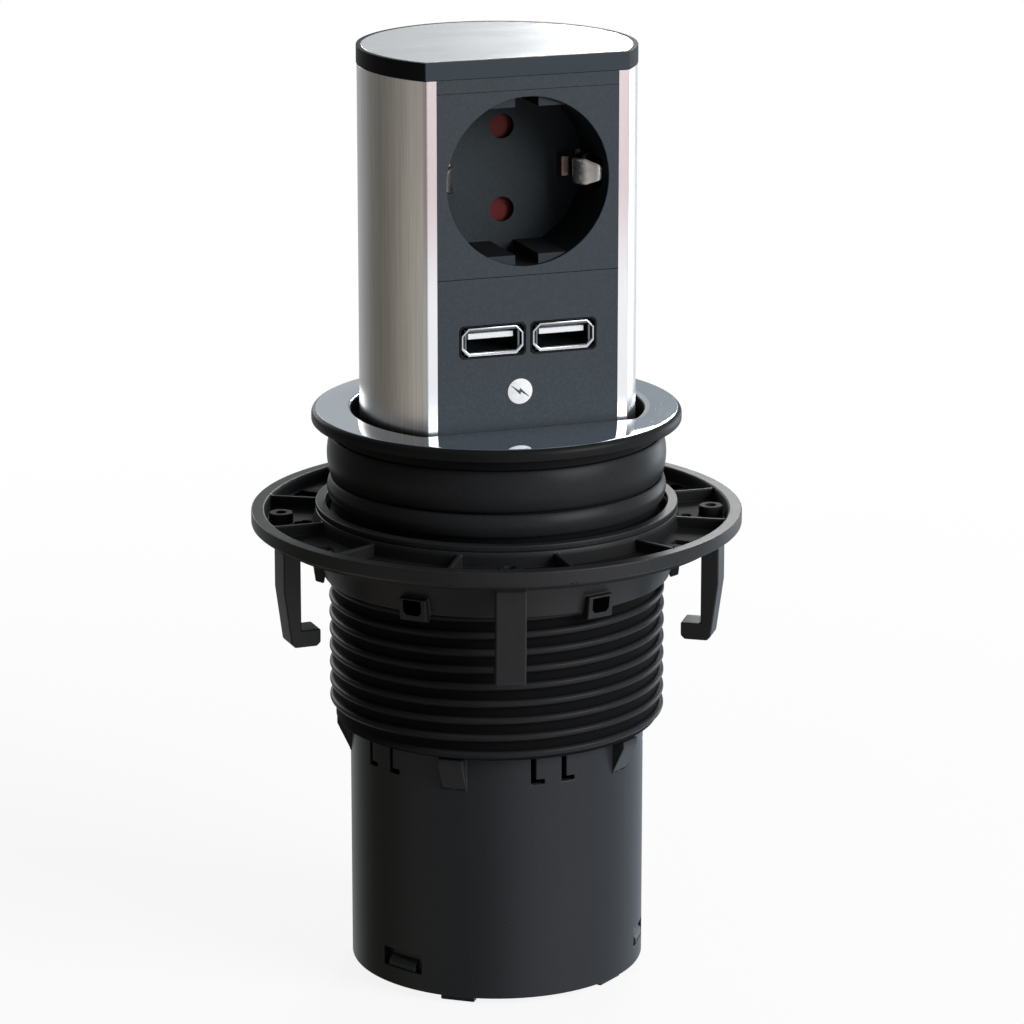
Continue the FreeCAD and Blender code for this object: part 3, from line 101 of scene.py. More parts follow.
class SocketColours(bpy.types.PropertyGroup):
    """The colours that a user may change, as linear values."""

    face: bpy.props.FloatVectorProperty(
        name="Face", description="Slate grey of the face modules", default=(0.043, 0.053, 0.061), size=3,
        subtype="COLOR",
    )
    bezel: bpy.props.FloatVectorProperty(
        name="Bezel", description="Dark mirror of the bezel's top", default=(0.62, 0.68, 0.77), size=3,
        subtype="COLOR",
    )
    moulding: bpy.props.FloatVectorProperty(
        name="Moulding", description="Black of the collar, the ring and the cap",
        default=(0.013, 0.0135, 0.0145), size=3, subtype="COLOR",
    )
    tube: bpy.props.FloatVectorProperty(
        name="Tube", description="Dark grey of the housing tube", default=(0.018, 0.0205, 0.024), size=3,
        subtype="COLOR",
    )
    shell: bpy.props.FloatVectorProperty(
        name="Shell", description="Satin metal of the tower's shell", default=(0.55, 0.54, 0.525), size=3,
        subtype="COLOR",
    )
    plate: bpy.props.FloatVectorProperty(
        name="Plate", description="Bright metal of the top plate", default=(0.86, 0.87, 0.88), size=3,
        subtype="COLOR",
    )


# Shader graphs


class Wire:
    """The output of a shader node. Arithmetic on it adds Math nodes."""

    def __init__(self, graph, socket):
        self.graph = graph
        self.socket = socket

    def maths(self, operation, *values):
        """A Math node on wires or numbers."""
        return self.graph.node("Math", {"operation": operation}, dict(enumerate(values)))

    def __add__(self, other):
        return self.maths("ADD", self, other)

    __radd__ = __add__

    def __sub__(self, other):
        return self.maths("SUBTRACT", self, other)

    def __rsub__(self, other):
        return self.maths("SUBTRACT", other, self)

    def __mul__(self, other):
        return self.maths("MULTIPLY", self, other)

    __rmul__ = __mul__

    def __truediv__(self, other):
        return self.maths("DIVIDE", self, other)

    def size(self):
        """The value without its sign."""
        return self.maths("ABSOLUTE", self)

    def above(self, low, high):
        """0 below low, 1 above high and a smooth ramp between them."""
        limits = {"Value": self, "From Min": low, "From Max": high}
        return self.graph.node("MapRange", {"interpolation_type": "SMOOTHSTEP"}, limits)

    def past(self, low, high):
        """The same ramp on a length, between two ends in millimetres."""
        return self.above(low * MM, high * MM)


class Graph:
    """The node tree of a material or of the world, with methods that add nodes to it."""

    def __init__(self, owner):
        owner.use_nodes = True
        self.tree = owner.node_tree
        self.tree.nodes.clear()

    def node(self, kind, settings=None, inputs=None, output=0):
        """Adds a node of a kind, sets it up, feeds its sockets and returns one of its outputs, or the node
        itself where output is None."""
        made = self.tree.nodes.new("ShaderNode" + kind)
        for name, value in (settings or {}).items():
            if name == "stops":
                while len(made.color_ramp.elements) < len(value):
                    made.color_ramp.elements.new(0.5)
                for element, (position, colour) in zip(made.color_ramp.elements, value):
                    element.position = position
                    element.color = (*colour, 1)
            else:
                setattr(made, name, value)
        for key, value in (inputs or {}).items():
            self.feed(self.find(made.inputs, key), value)
        return made if output is None else Wire(self, self.find(made.outputs, output))

    def find(self, sockets, key):
        """One of a node's sockets, by its number, identifier or name."""
        if isinstance(key, int):
            return sockets[key]
        return next(socket for socket in sockets if key in (socket.identifier, socket.name))

    def feed(self, target, value):
        """Links a wire to a socket, or sets the socket's own value."""
        if isinstance(value, Wire):
            self.tree.links.new(value.socket, target)
        elif isinstance(value, tuple) and len(value) == 3 and len(target.default_value) == 4:
            target.default_value = (*value, 1)
        else:
            target.default_value = value

    def part(self, vector, axis):
        """The X, Y or Z of a vector."""
        return self.node("SeparateXYZ", {}, {"Vector": vector}, axis)

    def along(self, axis, source="Object"):
        """The X, Y or Z of a texture coordinate."""
        return self.part(self.node("TexCoord", output=source), axis)

    def place(self, stretch=(1, 1, 1), turn=(0, 0, 0)):
        """Object coordinates, stretched and turned."""
        spot = self.node("TexCoord", output="Object")
        return self.node("Mapping", {}, {"Vector": spot, "Scale": stretch, "Rotation": turn})

    def off_axis(self, stretch=(1, 1, 0)):
        """Distance from the object's upright axis, or from its origin where nothing is flattened."""
        return self.node("VectorMath", {"operation": "LENGTH"}, {0: self.place(stretch)}, "Value")

    def noise(self, spot, scale, detail=2.0, rough=0.5):
        """A cloudy pattern from 0 to 1, with its scale in cells for each metre."""
        inputs = {"Vector": spot, "Scale": scale, "Detail": detail, "Roughness": rough}
        return self.node("TexNoise", {}, inputs, "Fac")

    def blend(self, share, low, high):
        """A colour between two, by a share from 0 to 1."""
        inputs = {"Factor_Float": share, "A_Color": low, "B_Color": high}
        return self.node("Mix", {"data_type": "RGBA"}, inputs, "Result_Color")

    def facing_up(self):
        """How far the surface looks up, from 0 to 1."""
        return self.part(self.node("NewGeometry", output="Normal"), "Z").above(0.2, 1.0)

    def bump(self, height, distance, strength):
        """A normal turned by a height, with its distance in millimetres."""
        return self.node("Bump", {}, {"Height": height, "Distance": distance * MM, "Strength": strength})


class Finish(Graph):
    """A material round one Principled shader."""

    def __init__(self, name, **constants):
        self.material = bpy.data.materials.get(name) or bpy.data.materials.new(name)
        super().__init__(self.material)
        self.end = self.node("OutputMaterial", output=None)
        self.shader = self.node("BsdfPrincipled", output=None)
        self.lit = Wire(self, self.shader.outputs[0])
        self.show(self.lit)
        self.give(**constants)

    def give(self, **values):
        """Feeds the shader's sockets with wires or values."""
        for name, value in values.items():
            self.feed(self.shader.inputs[name.replace("_", " ")], value)

    def show(self, surface):
        """Makes a shader's wire the material's surface."""
        self.feed(self.end.inputs["Surface"], surface)


def shaded(colour, factor):
    """A colour made lighter or darker."""
    return tuple(min(1.0, channel * factor) for channel in colour)


def moulded(
    name, colour, roughness, grain=0.45, relief=0.008, haze=0.25, dust=0.05, sheen=0.12,
    painted_shade=None, front=None,
):
    """Spark-eroded moulding: a fine grain in the surface, flow marks in the gloss and dust where it looks up.
    The grain and its relief are in millimetres. Where the mask function that is passed in gives 1 the surface
    is darker and duller, as painted shade in grooves and recesses, and a front colour goes on the flat face."""
    finish = Finish(name, IOR=1.45, Specular_IOR_Level=sheen)
    spot = finish.place()
    fine = finish.noise(spot, 1 / (grain * MM), 3.0, 0.6)
    flow = finish.noise(finish.place((1, 1, 0.35)), 55.0, 4.0, 0.6)
    specks = finish.noise(spot, 2600.0, 1.0).above(0.70, 0.78)
    tone = finish.blend(flow, shaded(colour, 1 - haze), shaded(colour, 1 + haze))
    tone = finish.blend(fine.above(0.35, 0.75) * 0.35, tone, shaded(colour, 1.7))
    tone = finish.blend(finish.facing_up() * (flow * 0.5 + specks * 0.5) * dust, tone, (0.30, 0.30, 0.29))
    gloss = roughness + (flow - 0.5) * 0.16 + (fine - 0.5) * 0.10
    # Painted shade: where the mask gives 1 the tone falls to a sixth of the colour and the gloss is duller
    if painted_shade:
        depth = painted_shade(finish)
        tone = finish.blend(depth, tone, shaded(colour, 0.16))
        gloss = gloss + depth * 0.4
    if front:
        tone = finish.blend(1 - finish.along("Y").past(FACE_Y - 0.04, FACE_Y + 0.06), tone, front)
    finish.give(Base_Color=tone, Roughness=gloss, Normal=finish.bump(fine * 0.8 + flow * 0.6, relief, 0.7))


def groove_shade(finish):
    """Painted shade in the collar's thread grooves and between its bands: 1 at the collar's wall, 0 at the
    thread's crest and on the bands, by the distance from the axis.
    """
    return 1 - finish.off_axis().past(COLLAR_WALL + 0.2, COLLAR_WALL + 1.2)


def web_shade(finish):
    """Painted shade on the clamp ring's web and ribs under its rim: 1 there, 0 elsewhere, by the distance
    from the axis and the height."""
    distance, height = finish.off_axis(), finish.along("Z")
    between = (1 - distance.past(53.0, 53.5)) * distance.past(38.0, 39.5)
    return between * (1 - height.past(108.6, 109.5)) * height.past(103.8, 104.2) * 0.8


def cup_shade(finish):
    """Painted shade in the plug recess: 1 on its walls, part of it on its floor and 0 on the face, by the
    depth and the surface's direction."""
    level = finish.along("Y", "Normal").size().above(0.3, 0.8)
    return finish.along("Y").past(FACE_Y + 0.1, FACE_Y + 0.6) * (1 - 0.6 * level)


def at_lip(finish):
    """Where the lips' bare tone with its painted reflection goes: 1 on the shell's lips beside the face and
    round their corner, 0 on its round side, by the depth.
    """
    return 1 - finish.along("Y").past(FACE_Y + 0.45, FACE_Y + 0.85)


def polished(name, colour, side):
    """The bezel's two surfaces: above the rounding a dark mirror with faint waves, wiped streaks and specks
    of dust, and on the edge and below it a plain satin moulding."""
    finish = Finish(name, IOR=1.46, Specular_IOR_Level=0.08, Coat_Roughness=0.03, Coat_IOR=1.5)
    spot = finish.place()
    top = finish.along("Z").past(BEZEL_HIGH.z - 0.12, BEZEL_HIGH.z - 0.02)
    wave = finish.noise(spot, 38.0, 1.0, 0.4)
    wiped = finish.noise(finish.place((1, 6, 1), (0, 0, 0.5)), 160.0, 3.0, 0.6)
    fine = finish.noise(spot, 2400.0, 3.0, 0.6)
    specks = finish.noise(spot, 1900.0, 1.0).above(0.74, 0.80) * top
    mirror = finish.blend(wave, shaded(colour, 0.92), shaded(colour, 1.08))
    plain = finish.blend(fine, shaded(side, 0.5), shaded(side, 1.1))
    finish.give(
        Base_Color=finish.blend(top, plain, finish.blend(specks * 0.15, mirror, (0.3, 0.3, 0.3))),
        Metallic=top,
        Coat_Weight=top,
        Roughness=0.38 - 0.34 * top + (wiped - 0.5) * 0.03 + specks * 0.25,
        Normal=finish.bump(wave + fine * (1 - top) * 0.5, 0.010, 0.5),
    )


def brushed(name, colour, roughness, stretch, cloud=0.12, lines=0.16, lip=None):
    """Anodised metal with long brush lines: noise drawn out along the lines, in the tone, gloss and relief.
    Where the lip function gives 1 the metal is bare and bright, and its tone holds a painted reflection:
    bluish low down, darker and a little redder at the top."""
    finish = Finish(name, Metallic=1.0)
    hair = finish.noise(finish.place(stretch), 5200.0, 2.0, 0.7)
    strand = finish.noise(finish.place(stretch), 1500.0, 2.0, 0.6)
    soft = finish.noise(finish.place(tuple(0.3 + 0.7 * part for part in stretch)), 60.0)
    line = hair * 0.6 + strand * 0.4
    tone = finish.blend(line.above(0.3, 0.7), shaded(colour, 1 - lines), shaded(colour, 1 + lines))
    tone = finish.blend(soft.above(0.35, 0.65) * cloud, tone, shaded(colour, 0.7))
    if lip:
        # Painted reflection: the lips' bare tone goes from bluish low down to darker and redder at the top
        bare_metal_and_painted_reflection = finish.blend(finish.along("Z").past(160, 190), (0.54, 0.57, 0.585), (0.43, 0.385, 0.39))
        tone = finish.blend(lip(finish), tone, bare_metal_and_painted_reflection)
    gloss = roughness + (line - 0.5) * 0.18 + (soft - 0.5) * 0.08
    finish.give(Base_Color=tone, Roughness=gloss, Normal=finish.bump(line, 0.006, 0.45))


def plated(name, colour, roughness, wear=0.2):
    """Stamped sheet metal: drawn marks, a rolled texture and dull spots."""
    finish = Finish(name, Metallic=1.0)
    drawn = finish.noise(finish.place((1, 0.15, 1)), 3000.0, 2.0, 0.6)
    dull = finish.noise(finish.place(), 420.0, 4.0, 0.6)
    tone = finish.blend(dull.above(0.45, 0.7) * wear, colour, shaded(colour, 0.55))
    gloss = roughness + (dull - 0.5) * 0.22 + (drawn - 0.5) * 0.1
    finish.give(Base_Color=tone, Roughness=gloss, Normal=finish.bump(drawn + dull, 0.008, 0.5))


def rubbery(name, colour):
    """Extruded rubber: matt, with fine lines round it and a bloom."""
    finish = Finish(name, IOR=1.5, Specular_IOR_Level=0.1)
    fine = finish.noise(finish.place((0.2, 0.2, 1)), 4200.0, 2.0, 0.6)
    bloom = finish.noise(finish.place(), 90.0, 4.0, 0.6)
    tone = finish.blend(bloom.above(0.4, 0.7), colour, shaded(colour, 2.2))
    finish.give(Base_Color=tone, Roughness=0.62 + (bloom - 0.5) * 0.2, Normal=finish.bump(fine, 0.015, 0.6))


def felted(name, colour):
    """Pressed felt: a tangle of fibres in tone and relief."""
    finish = Finish(name, IOR=1.45)
    spot = finish.place()
    fibre = finish.noise(spot, 2400.0, 5.0, 0.75)
    clump = finish.noise(spot, 500.0, 3.0, 0.6)
    tone = finish.blend(fibre.above(0.3, 0.7), shaded(colour, 0.5), shaded(colour, 2.4))
    gloss = 0.92 + (clump - 0.5) * 0.1
    finish.give(Base_Color=tone, Roughness=gloss, Normal=finish.bump(fibre + clump, 0.12, 0.9))


def lacquered(name, colour):
    """A circuit board: woven glass under green lacquer, with copper tracks that show through it."""
    finish = Finish(name, IOR=1.55, Coat_Roughness=0.12, Coat_Weight=0.6)
    spot = finish.place()
    bands = {"wave_type": "BANDS", "bands_direction": "Z"}
    weave = finish.node("TexWave", bands, {"Vector": spot, "Scale": 420.0}, "Fac")
    edges = {"feature": "DISTANCE_TO_EDGE"}
    tracks = finish.node("TexVoronoi", edges, {"Vector": spot, "Scale": 330.0}, "Distance").above(0.05, 0.09)
    tone = finish.blend(tracks, shaded(colour, 1.9), colour)
    tone = finish.blend(weave * 0.12, tone, shaded(colour, 0.5))
    finish.give(Base_Color=tone, Roughness=0.34 + weave * 0.06, Normal=finish.bump(tracks, 0.03, 0.5))


def printed(name, colour, roughness):
    """Pad print: a thin even ink with a slightly uneven gloss and edge."""
    finish = Finish(name, IOR=1.5)
    spot = finish.place()
    fine = finish.noise(spot, 5200.0, 2.0, 0.6)
    cover = finish.noise(spot, 900.0, 3.0, 0.6)
    tone = finish.blend(cover.above(0.3, 0.75), colour, shaded(colour, 0.88))
    gloss = roughness + (cover - 0.5) * 0.15
    finish.give(Base_Color=tone, Roughness=gloss, Normal=finish.bump(fine, 0.006, 0.6))


def make_finishes(colours):
    """All finishes. Those that CAD nodes share have the names of the record's material slots."""
    black, face = tuple(colours.moulding), tuple(colours.face)
    face_grain = {"roughness": 0.48, "grain": 0.50, "relief": 0.014, "haze": 0.06}
    polished("gloss_black", tuple(colours.bezel), black)
    moulded("satin_black", black, 0.40)
    # The collar's black, with painted shade in its thread grooves and between its bands
    moulded("collar_black", shaded(black, 1.5), 0.34, 0.45, 0.006, 0.2, 0.03, sheen=0.08, painted_shade=groove_shade)
    # The ring's black, with painted shade on its web and ribs under the rim
    moulded("ring_black", shaded(black, 1.35), 0.42, 0.55, 0.012, 0.3, 0.04, sheen=0.20, painted_shade=web_shade)
    moulded("tube_black", tuple(colours.tube), 0.32, 0.40, 0.005, 0.18, 0.03, sheen=0.20)
    moulded("cap_black", black, 0.50, dust=0.03, sheen=0.04, front=shaded(face, 1.2))
    moulded("trim_black", (0.008, 0.008, 0.009), 0.28, 0.3, 0.004, 0.2)
    # A black without gloss for the catches' pads, painted shade where their hollows lie
    moulded("shade_pad_black", (0.001, 0.001, 0.001), 0.8, haze=0.2, dust=0.0, sheen=0.0)
    moulded("face_grey", face, **face_grain, dust=0.02)
    # The faceplate's grey, with painted shade on the plug recess's walls and floor
    moulded("cup_grey", face, **face_grain, dust=0.0, painted_shade=cup_shade)
    moulded("base_plastic", (0.50, 0.48, 0.43), 0.5, 0.5, 0.01, 0.08)
    moulded("shutter_red", (0.10, 0.014, 0.012), 0.45, 0.4, haze=0.15)
    moulded("tongue_white", (0.90, 0.92, 0.94), 0.4, 0.4, 0.005, 0.04)
    # Black rubber, made darker still as painted shade in the groove under the bezel
    rubbery("seal_rubber", (0.002, 0.002, 0.002))
    felted("felt", (0.03, 0.03, 0.03))
    brushed("bright_metal", tuple(colours.plate), 0.24, (0.03, 1, 1), cloud=0.10, lines=0.05)
    brushed("brushed_shell", tuple(colours.shell), 0.30, (1, 1, 0.012), lip=at_lip)
    plated("spring_steel", (0.62, 0.62, 0.61), 0.3)
    plated("contact_brass", (0.72, 0.53, 0.25), 0.25)
    plated("port_steel", (0.40, 0.43, 0.45), 0.2, wear=0.15)
    # The port shells' steel painted dark: painted shade inside the ports
    plated("port_painted_shade", (0.09, 0.11, 0.12), 0.35, wear=0.3)
    plated("lug_brown", (0.30, 0.21, 0.17), 0.4, wear=0.4)
    lacquered("board_green", (0.02, 0.12, 0.05))
    printed("sign_white", (0.88, 0.89, 0.90), 0.45)
    printed("sign_dark", (0.035, 0.038, 0.043), 0.5)


# Meshes from grids of points


def make_mesh(name, patches):
    """A mesh over grids of points in millimetres, with its doubles merged. A patch is (rows x columns x 3
    points, close the rows, close the columns)."""
    corners, faces, first = [], [], 0
    for points, close_rows, close_columns in patches:
        rows, columns = points.shape[:2]
        number = np.arange(rows * columns).reshape(rows, columns) + first
        if close_rows:
            number = np.vstack((number, number[:1]))
        if close_columns:
            number = np.hstack((number, number[:, :1]))
        quads = np.stack((number[:-1, :-1], number[:-1, 1:], number[1:, 1:], number[1:, :-1]), axis=-1)
        faces.append(quads.reshape(-1, 4))
        corners.append(points.reshape(-1, 3))
        first += rows * columns
    mesh = bpy.data.meshes.new(name)
    mesh.from_pydata((np.concatenate(corners) * MM).tolist(), [], np.concatenate(faces).tolist())
    work = bmesh.new()
    work.from_mesh(mesh)
    bmesh.ops.remove_doubles(work, verts=work.verts, dist=2e-6)
    bmesh.ops.dissolve_degenerate(work, dist=1e-7, edges=work.edges)
    bmesh.ops.recalc_face_normals(work, faces=work.faces)
    work.to_mesh(mesh)
    work.free()
    return mesh


def make_piece(name, patches, slot, body, replaced=(), finish=None, crease=32.0):
    """A new piece on a body, in the slot's own finish where no other is named, with edges sharper than the
    crease's degrees left sharp."""
    mesh = make_mesh(name, patches)
    mesh.shade_smooth()
    mesh.set_sharp_from_angle(angle=math.radians(crease))
    mesh.materials.append(bpy.data.materials[finish or slot])
    piece = bpy.data.objects.new(name, mesh)
    bpy.context.scene.collection.objects.link(piece)
    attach(piece, body)
    if replaced:
        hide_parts(*replaced)
    return piece


def ring_of(distance, height, bearings):
    """Points round the axis: each is the distance from the axis at its bearing, at its height."""
    distance, height, bearings = np.broadcast_arrays(distance, height, bearings)
    return np.stack((distance * np.cos(bearings), distance * np.sin(bearings), height), axis=-1)


def layered(outline, layers):
    """A solid from layers of one flat outline. A layer is (size, level), and its points are the outline's
    first number times the size, the level, and the outline's second number times the size."""
    return np.stack([np.insert(outline * size, 1, level, axis=1) for size, level in layers])


def smooth_line(points, rounds):
    """A smooth line through a rough one: each round cuts every corner at a quarter of its two runs."""
    for _ in range(rounds):
        near = points[:-1] * 0.75 + points[1:] * 0.25
        far = points[:-1] * 0.25 + points[1:] * 0.75
        inner = np.stack((near, far), axis=1).reshape(-1, points.shape[1])
        points = np.vstack((points[:1], inner[1:-1], points[-1:]))
    return points


def octagon(half_width, half_height, corner, centre_x, depth, centre_z):
    """Eight-sided line round a charging port: a rectangle with cut corners, at one depth."""
    w, h, c = half_width, half_height, corner
    flat = np.array([
        (-w + c, -h), (w - c, -h), (w, -h + c), (w, h - c),
        (w - c, h), (-w + c, h), (-w, h - c), (-w, -h + c),
    ])
    return np.insert(flat + (centre_x, centre_z), 1, depth, axis=1)


def quarter(centre_distance, centre_height, radius, start, end, count):
    """Points of a rounded edge, as (distance, height) on an arc between two bearings in degrees."""
    turn = np.radians(np.linspace(start, end, count))
    return np.stack((centre_distance + radius * np.cos(turn), centre_height + radius * np.sin(turn)), axis=-1)


def d_line(side_gap, flat_gap, bearings):
    """Distance from the axis to the tower's D shape grown by two gaps: the nearer of the round side and the
    flat side at each bearing, blended over the corner by a power mean."""
    around = -TOWER_SHIFT * np.sin(bearings) + np.sqrt(
        (TOWER_RADIUS + side_gap) ** 2 - (TOWER_SHIFT * np.cos(bearings)) ** 2
    )
    flat = (flat_gap - FACE_Y) / np.maximum(-np.sin(bearings), 0.05)
    sharpness = 70.0
    return (around**-sharpness + flat**-sharpness) ** (-1 / sharpness)


def soften(piece, width, crease, segments):
    """Rounds the moulded edges of a CAD node: joins its triangles, merges the flat ones and bevels the edges
    that are sharper than the crease's degrees."""
    weld = piece.modifiers.new("weld", "WELD")
    weld.merge_threshold = 2e-6
    flat = piece.modifiers.new("flat", "DECIMATE")
    flat.decimate_type = "DISSOLVE"
    flat.angle_limit = math.radians(0.5)
    edge = piece.modifiers.new("edge", "BEVEL")
    edge.limit_method = "ANGLE"
    edge.angle_limit = math.radians(crease)
    edge.width = width
    edge.segments = segments
    edge.use_clamp_overlap = False
    weigh = piece.modifiers.new("weigh", "WEIGHTED_NORMAL")
    weigh.keep_sharp = False
    weigh.weight = 100


def dress(names, finish, width=0.0, crease=28.0, segments=2):
    """Gives CAD nodes their finish and, where a width is given, rounded edges."""
    for name in names:
        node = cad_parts[name]
        node.data.materials.clear()
        node.data.materials.append(bpy.data.materials[finish])
        if width:
            soften(node, width, crease, segments)


# Operators, one for each piece or group of like pieces


class SOCKET_OT_finishes(bpy.types.Operator):
    """Makes the finishes"""

    bl_idname = "socket.finishes"
    bl_label = "Make the finishes"

    def execute(self, context):
        make_finishes(context.scene.socket_colours)
        return {"FINISHED"}


class SOCKET_OT_bezel(bpy.types.Operator):
    """Makes the polished bezel with its D-shaped hole"""

    bl_idname = "socket.bezel"
    bl_label = "Bezel"

    def execute(self, context):
        # Closed lines from the foot of the neck up through the D-shaped hole, over the top and down outside.
        rounding = context.scene.socket_sizes.bezel_rounding / MM
        bearings = np.linspace(0, 2 * math.pi, 540, endpoint=False)
        foot, top, outer = BEZEL_LOW.z, BEZEL_HIGH.z, BEZEL_HIGH.x
        under = top - 3.0
        side_gap, flat_gap = 2.0, 1.5
        lip, lower_lip = 0.55, 0.5
        lines = [ring_of(d_line(side_gap, flat_gap, bearings), foot, bearings)]
        for turn in np.radians(np.linspace(0, 90, 6)):
            gap = lip * (1 - math.cos(turn))
            height = top - lip + lip * math.sin(turn)
            lines.append(ring_of(d_line(side_gap + gap, flat_gap + gap, bearings), height, bearings))
        outside = [
            *quarter(outer - rounding, top - rounding, rounding, 90, 0, 9),
            *quarter(outer - lower_lip, under + lower_lip, lower_lip, 0, -90, 4),
            (GASKET_SEAT, under), (GASKET_SEAT, under + 0.3),
            (36.8, under + 0.3), (36.8, foot + 0.3), (36.5, foot),
        ]
        lines += [ring_of(distance, height, bearings) for distance, height in outside]
        patches = [(np.stack(lines), True, True)]
        make_piece("bezel", patches, "gloss_black", "housing", ["bezel_ring"], crease=40.0)
        return {"FINISHED"}


class SOCKET_OT_collar(bpy.types.Operator):
    """Makes the collar with its crowned bands and its helical thread"""

    bl_idname = "socket.collar"
    bl_label = "Threaded collar"

    def execute(self, context):
        # The thread's profile is carried along a helix: at the turned angle s the ridge's middle is at
        # start + pitch * s / turn, and the profile fades to the plain wall at both ends.
        sizes = context.scene.socket_sizes
        pitch, ridge = sizes.thread_pitch / MM, sizes.thread_height / MM
        foot, top = COLLAR_LOW.z, COLLAR_HIGH.z
        shelf = foot + 0.55
        first_ridge = foot + 1.23
        low_band, split, high_band = top - 15.2, top - 10.0, top - 9.4
        steps = 180
        start = math.radians(-170.0)
        profile = np.array([
            (-2.0, 0.0), (-1.50, 0.0), (-1.30, 0.08), (-1.05, 0.40), (-0.80, 0.70), (-0.50, 0.91),
            (-0.15, 1.0), (0.20, 0.98), (0.45, 0.86), (0.64, 0.62), (0.74, 0.30), (0.80, 0.06), (0.90, 0.0),
            (2.0, 0.0),
        ]) * (pitch / 4, 1)
        length = int(round((low_band - 0.5 - pitch / 2 - first_ridge) / pitch * steps))
        count = np.arange(length + 1)
        bearing = start + 2 * math.pi * count / steps
        middle = first_ridge + pitch * count / steps
        share = np.linspace(0, 1, len(profile))
        fade = np.clip(np.minimum(count / (steps * 0.14), (length - count) / (steps * 0.2)), 0, 1)
        fade = (fade * fade * (3 - 2 * fade))[:, None]
        low = np.maximum(middle - pitch / 2, shelf)[:, None]
        high = (middle + pitch / 2)[:, None]
        even = low + (high - low) * share
        shaped = np.maximum(middle[:, None] + profile[:, 0], low)
        distance = COLLAR_WALL + ridge * profile[:, 1] * fade
        thread = ring_of(distance, even + (shaped - even) * fade, bearing[:, None])

        def filler(edge, level, turn):
            """The plain wall between one turn of the thread's edge and a level line."""
            return ring_of(COLLAR_WALL, edge[turn] + (level - edge[turn]) * share, bearing[turn, None])

        def crowned(low_edge, high_edge):
            """A band whose face swells from its edges to its middle, with small rounded edges."""
            part = np.linspace(-1, 1, 13)
            swell = 38.15 + 0.75 * (1 - part**2)
            level = (low_edge + high_edge) / 2 + part * (high_edge - low_edge - 0.3) / 2
            return [(38.0, low_edge), *zip(swell, level), (38.0, high_edge)]

        turn = np.arange(steps + 1)
        summit = middle[-1] + pitch / 2
        outside = [
            (COLLAR_WALL, summit), (COLLAR_WALL, low_band), *crowned(low_band, split), (37.5, split),
            (37.4, split + 0.3), (37.5, high_band), *crowned(high_band, top - 0.05), (37.7, top),
            (35.2, top), (35.0, top - 0.2), (35.0, foot + 0.2), (35.2, foot), (36.1, foot),
            (36.6, foot + 0.08), (COLLAR_WALL - 0.1, foot + 0.4), (COLLAR_WALL, shelf),
        ]
        ring = start + 2 * math.pi * np.arange(steps) / steps
        patches = [
            (thread, False, False),
            (filler(low, shelf, turn), False, False),
            (filler(high, summit, length - steps + turn), False, False),
            (np.stack([ring_of(distance, height, ring) for distance, height in outside]), False, True),
        ]
        make_piece("collar", patches, "satin_black", "housing", ["threaded_collar"], "collar_black", 30.0)
        return {"FINISHED"}


class SOCKET_OT_earth_clips(bpy.types.Operator):
    """Makes the earth strap with its two sprung clips"""

    bl_idname = "socket.earth_clips"
    bl_label = "Earth clips"

    def execute(self, context):
        # A flat strip is carried along a line that runs down one side, behind the base and up the other side.
        # Each end bows into the plug recess and curls back to its wall. The strip narrows to its tips and at
        # a waist, its section is an oval flattened by powers of the cosine and sine, and its bows swell.
        centre = (STRAP_LOW.z + STRAP_HIGH.z) / 2
        half = (STRAP_HIGH.x - STRAP_LOW.x) / 2 - 0.4
        back = STRAP_HIGH.y - 0.4
        leg = [
            (0.0, back), (half * 0.5, back), (half - 1.6, back), (half - 0.45, back - 0.45),
            (half, back - 1.6), (half, back - 8.0), (half, FACE_Y + 16.6), (half - 0.25, FACE_Y + 15.6),
        ]
        bow = np.array([
            (1.0, 14.6), (2.8, 13.2), (4.3, 11.2), (4.7, 9.4),
            (4.1, 7.6), (2.5, 5.9), (0.7, 4.6), (-0.5, 4.75),
        ])
        side = smooth_line(np.vstack((leg, bow * (-1, 1) + (RECESS_RADIUS, FACE_Y))), 4)
        line = np.vstack((side[::-1] * (-1, 1), side[1:]))
        run = np.r_[0, np.cumsum(np.hypot(*np.diff(line, axis=0).T))]
        heading = np.gradient(line, run, axis=0)
        heading /= np.hypot(*heading.T)[:, None]
        across = np.stack((-heading[:, 1], heading[:, 0]), axis=-1)
        end = np.minimum(run, run[-1] - run)[:, None]
        width = 3.0 * (0.45 + 0.55 * np.clip(end / 4.2, 0, 1) ** 0.8)
        width *= 1 - 0.22 * np.exp(-(((end - 9.5) / 1.6) ** 2))
        turn = np.linspace(0, 2 * math.pi, 20, endpoint=False)
        flat = np.sign(np.cos(turn)) * np.abs(np.cos(turn)) ** 0.35
        thick = np.sign(np.sin(turn)) * np.abs(np.sin(turn)) ** 0.5 * 0.38
        crown = 0.28 * (1 - flat**2) * np.exp(-(((end - 6.4) / 2.6) ** 2))
        plan = line[:, None] + across[:, None] * (thick + crown)[..., None]
        points = np.insert(plan, 2, centre + width * flat, axis=-1)
        tips = np.repeat(points[[0, -1]].mean(axis=1, keepdims=True), len(turn), axis=1)
        patches = [(np.concatenate((tips[:1], points, tips[1:])), False, True)]
        make_piece("earth_clips", patches, "spring_steel", "tower", ["earth_strap"], crease=50.0)
        # A blunt lug beside each clip stands on the recess's floor, in layers from its back to its front.
        lug = layered(
            np.array([(-0.9, -2.4), (0.9, -2.4), (0.9, 2.4), (-0.9, 2.4)]),
            [(0.0, 17.6), (1.0, 17.6), (1.0, 14.9), (0.9, 14.6), (0.0, 14.6)],
        )
        lugs = [(lug + (way * (RECESS_RADIUS - 5.0), FACE_Y, centre), False, True) for way in (-1, 1)]
        make_piece("clip_lugs", lugs, "contact_brass", "tower", (), "lug_brown", 30.0)
        return {"FINISHED"}


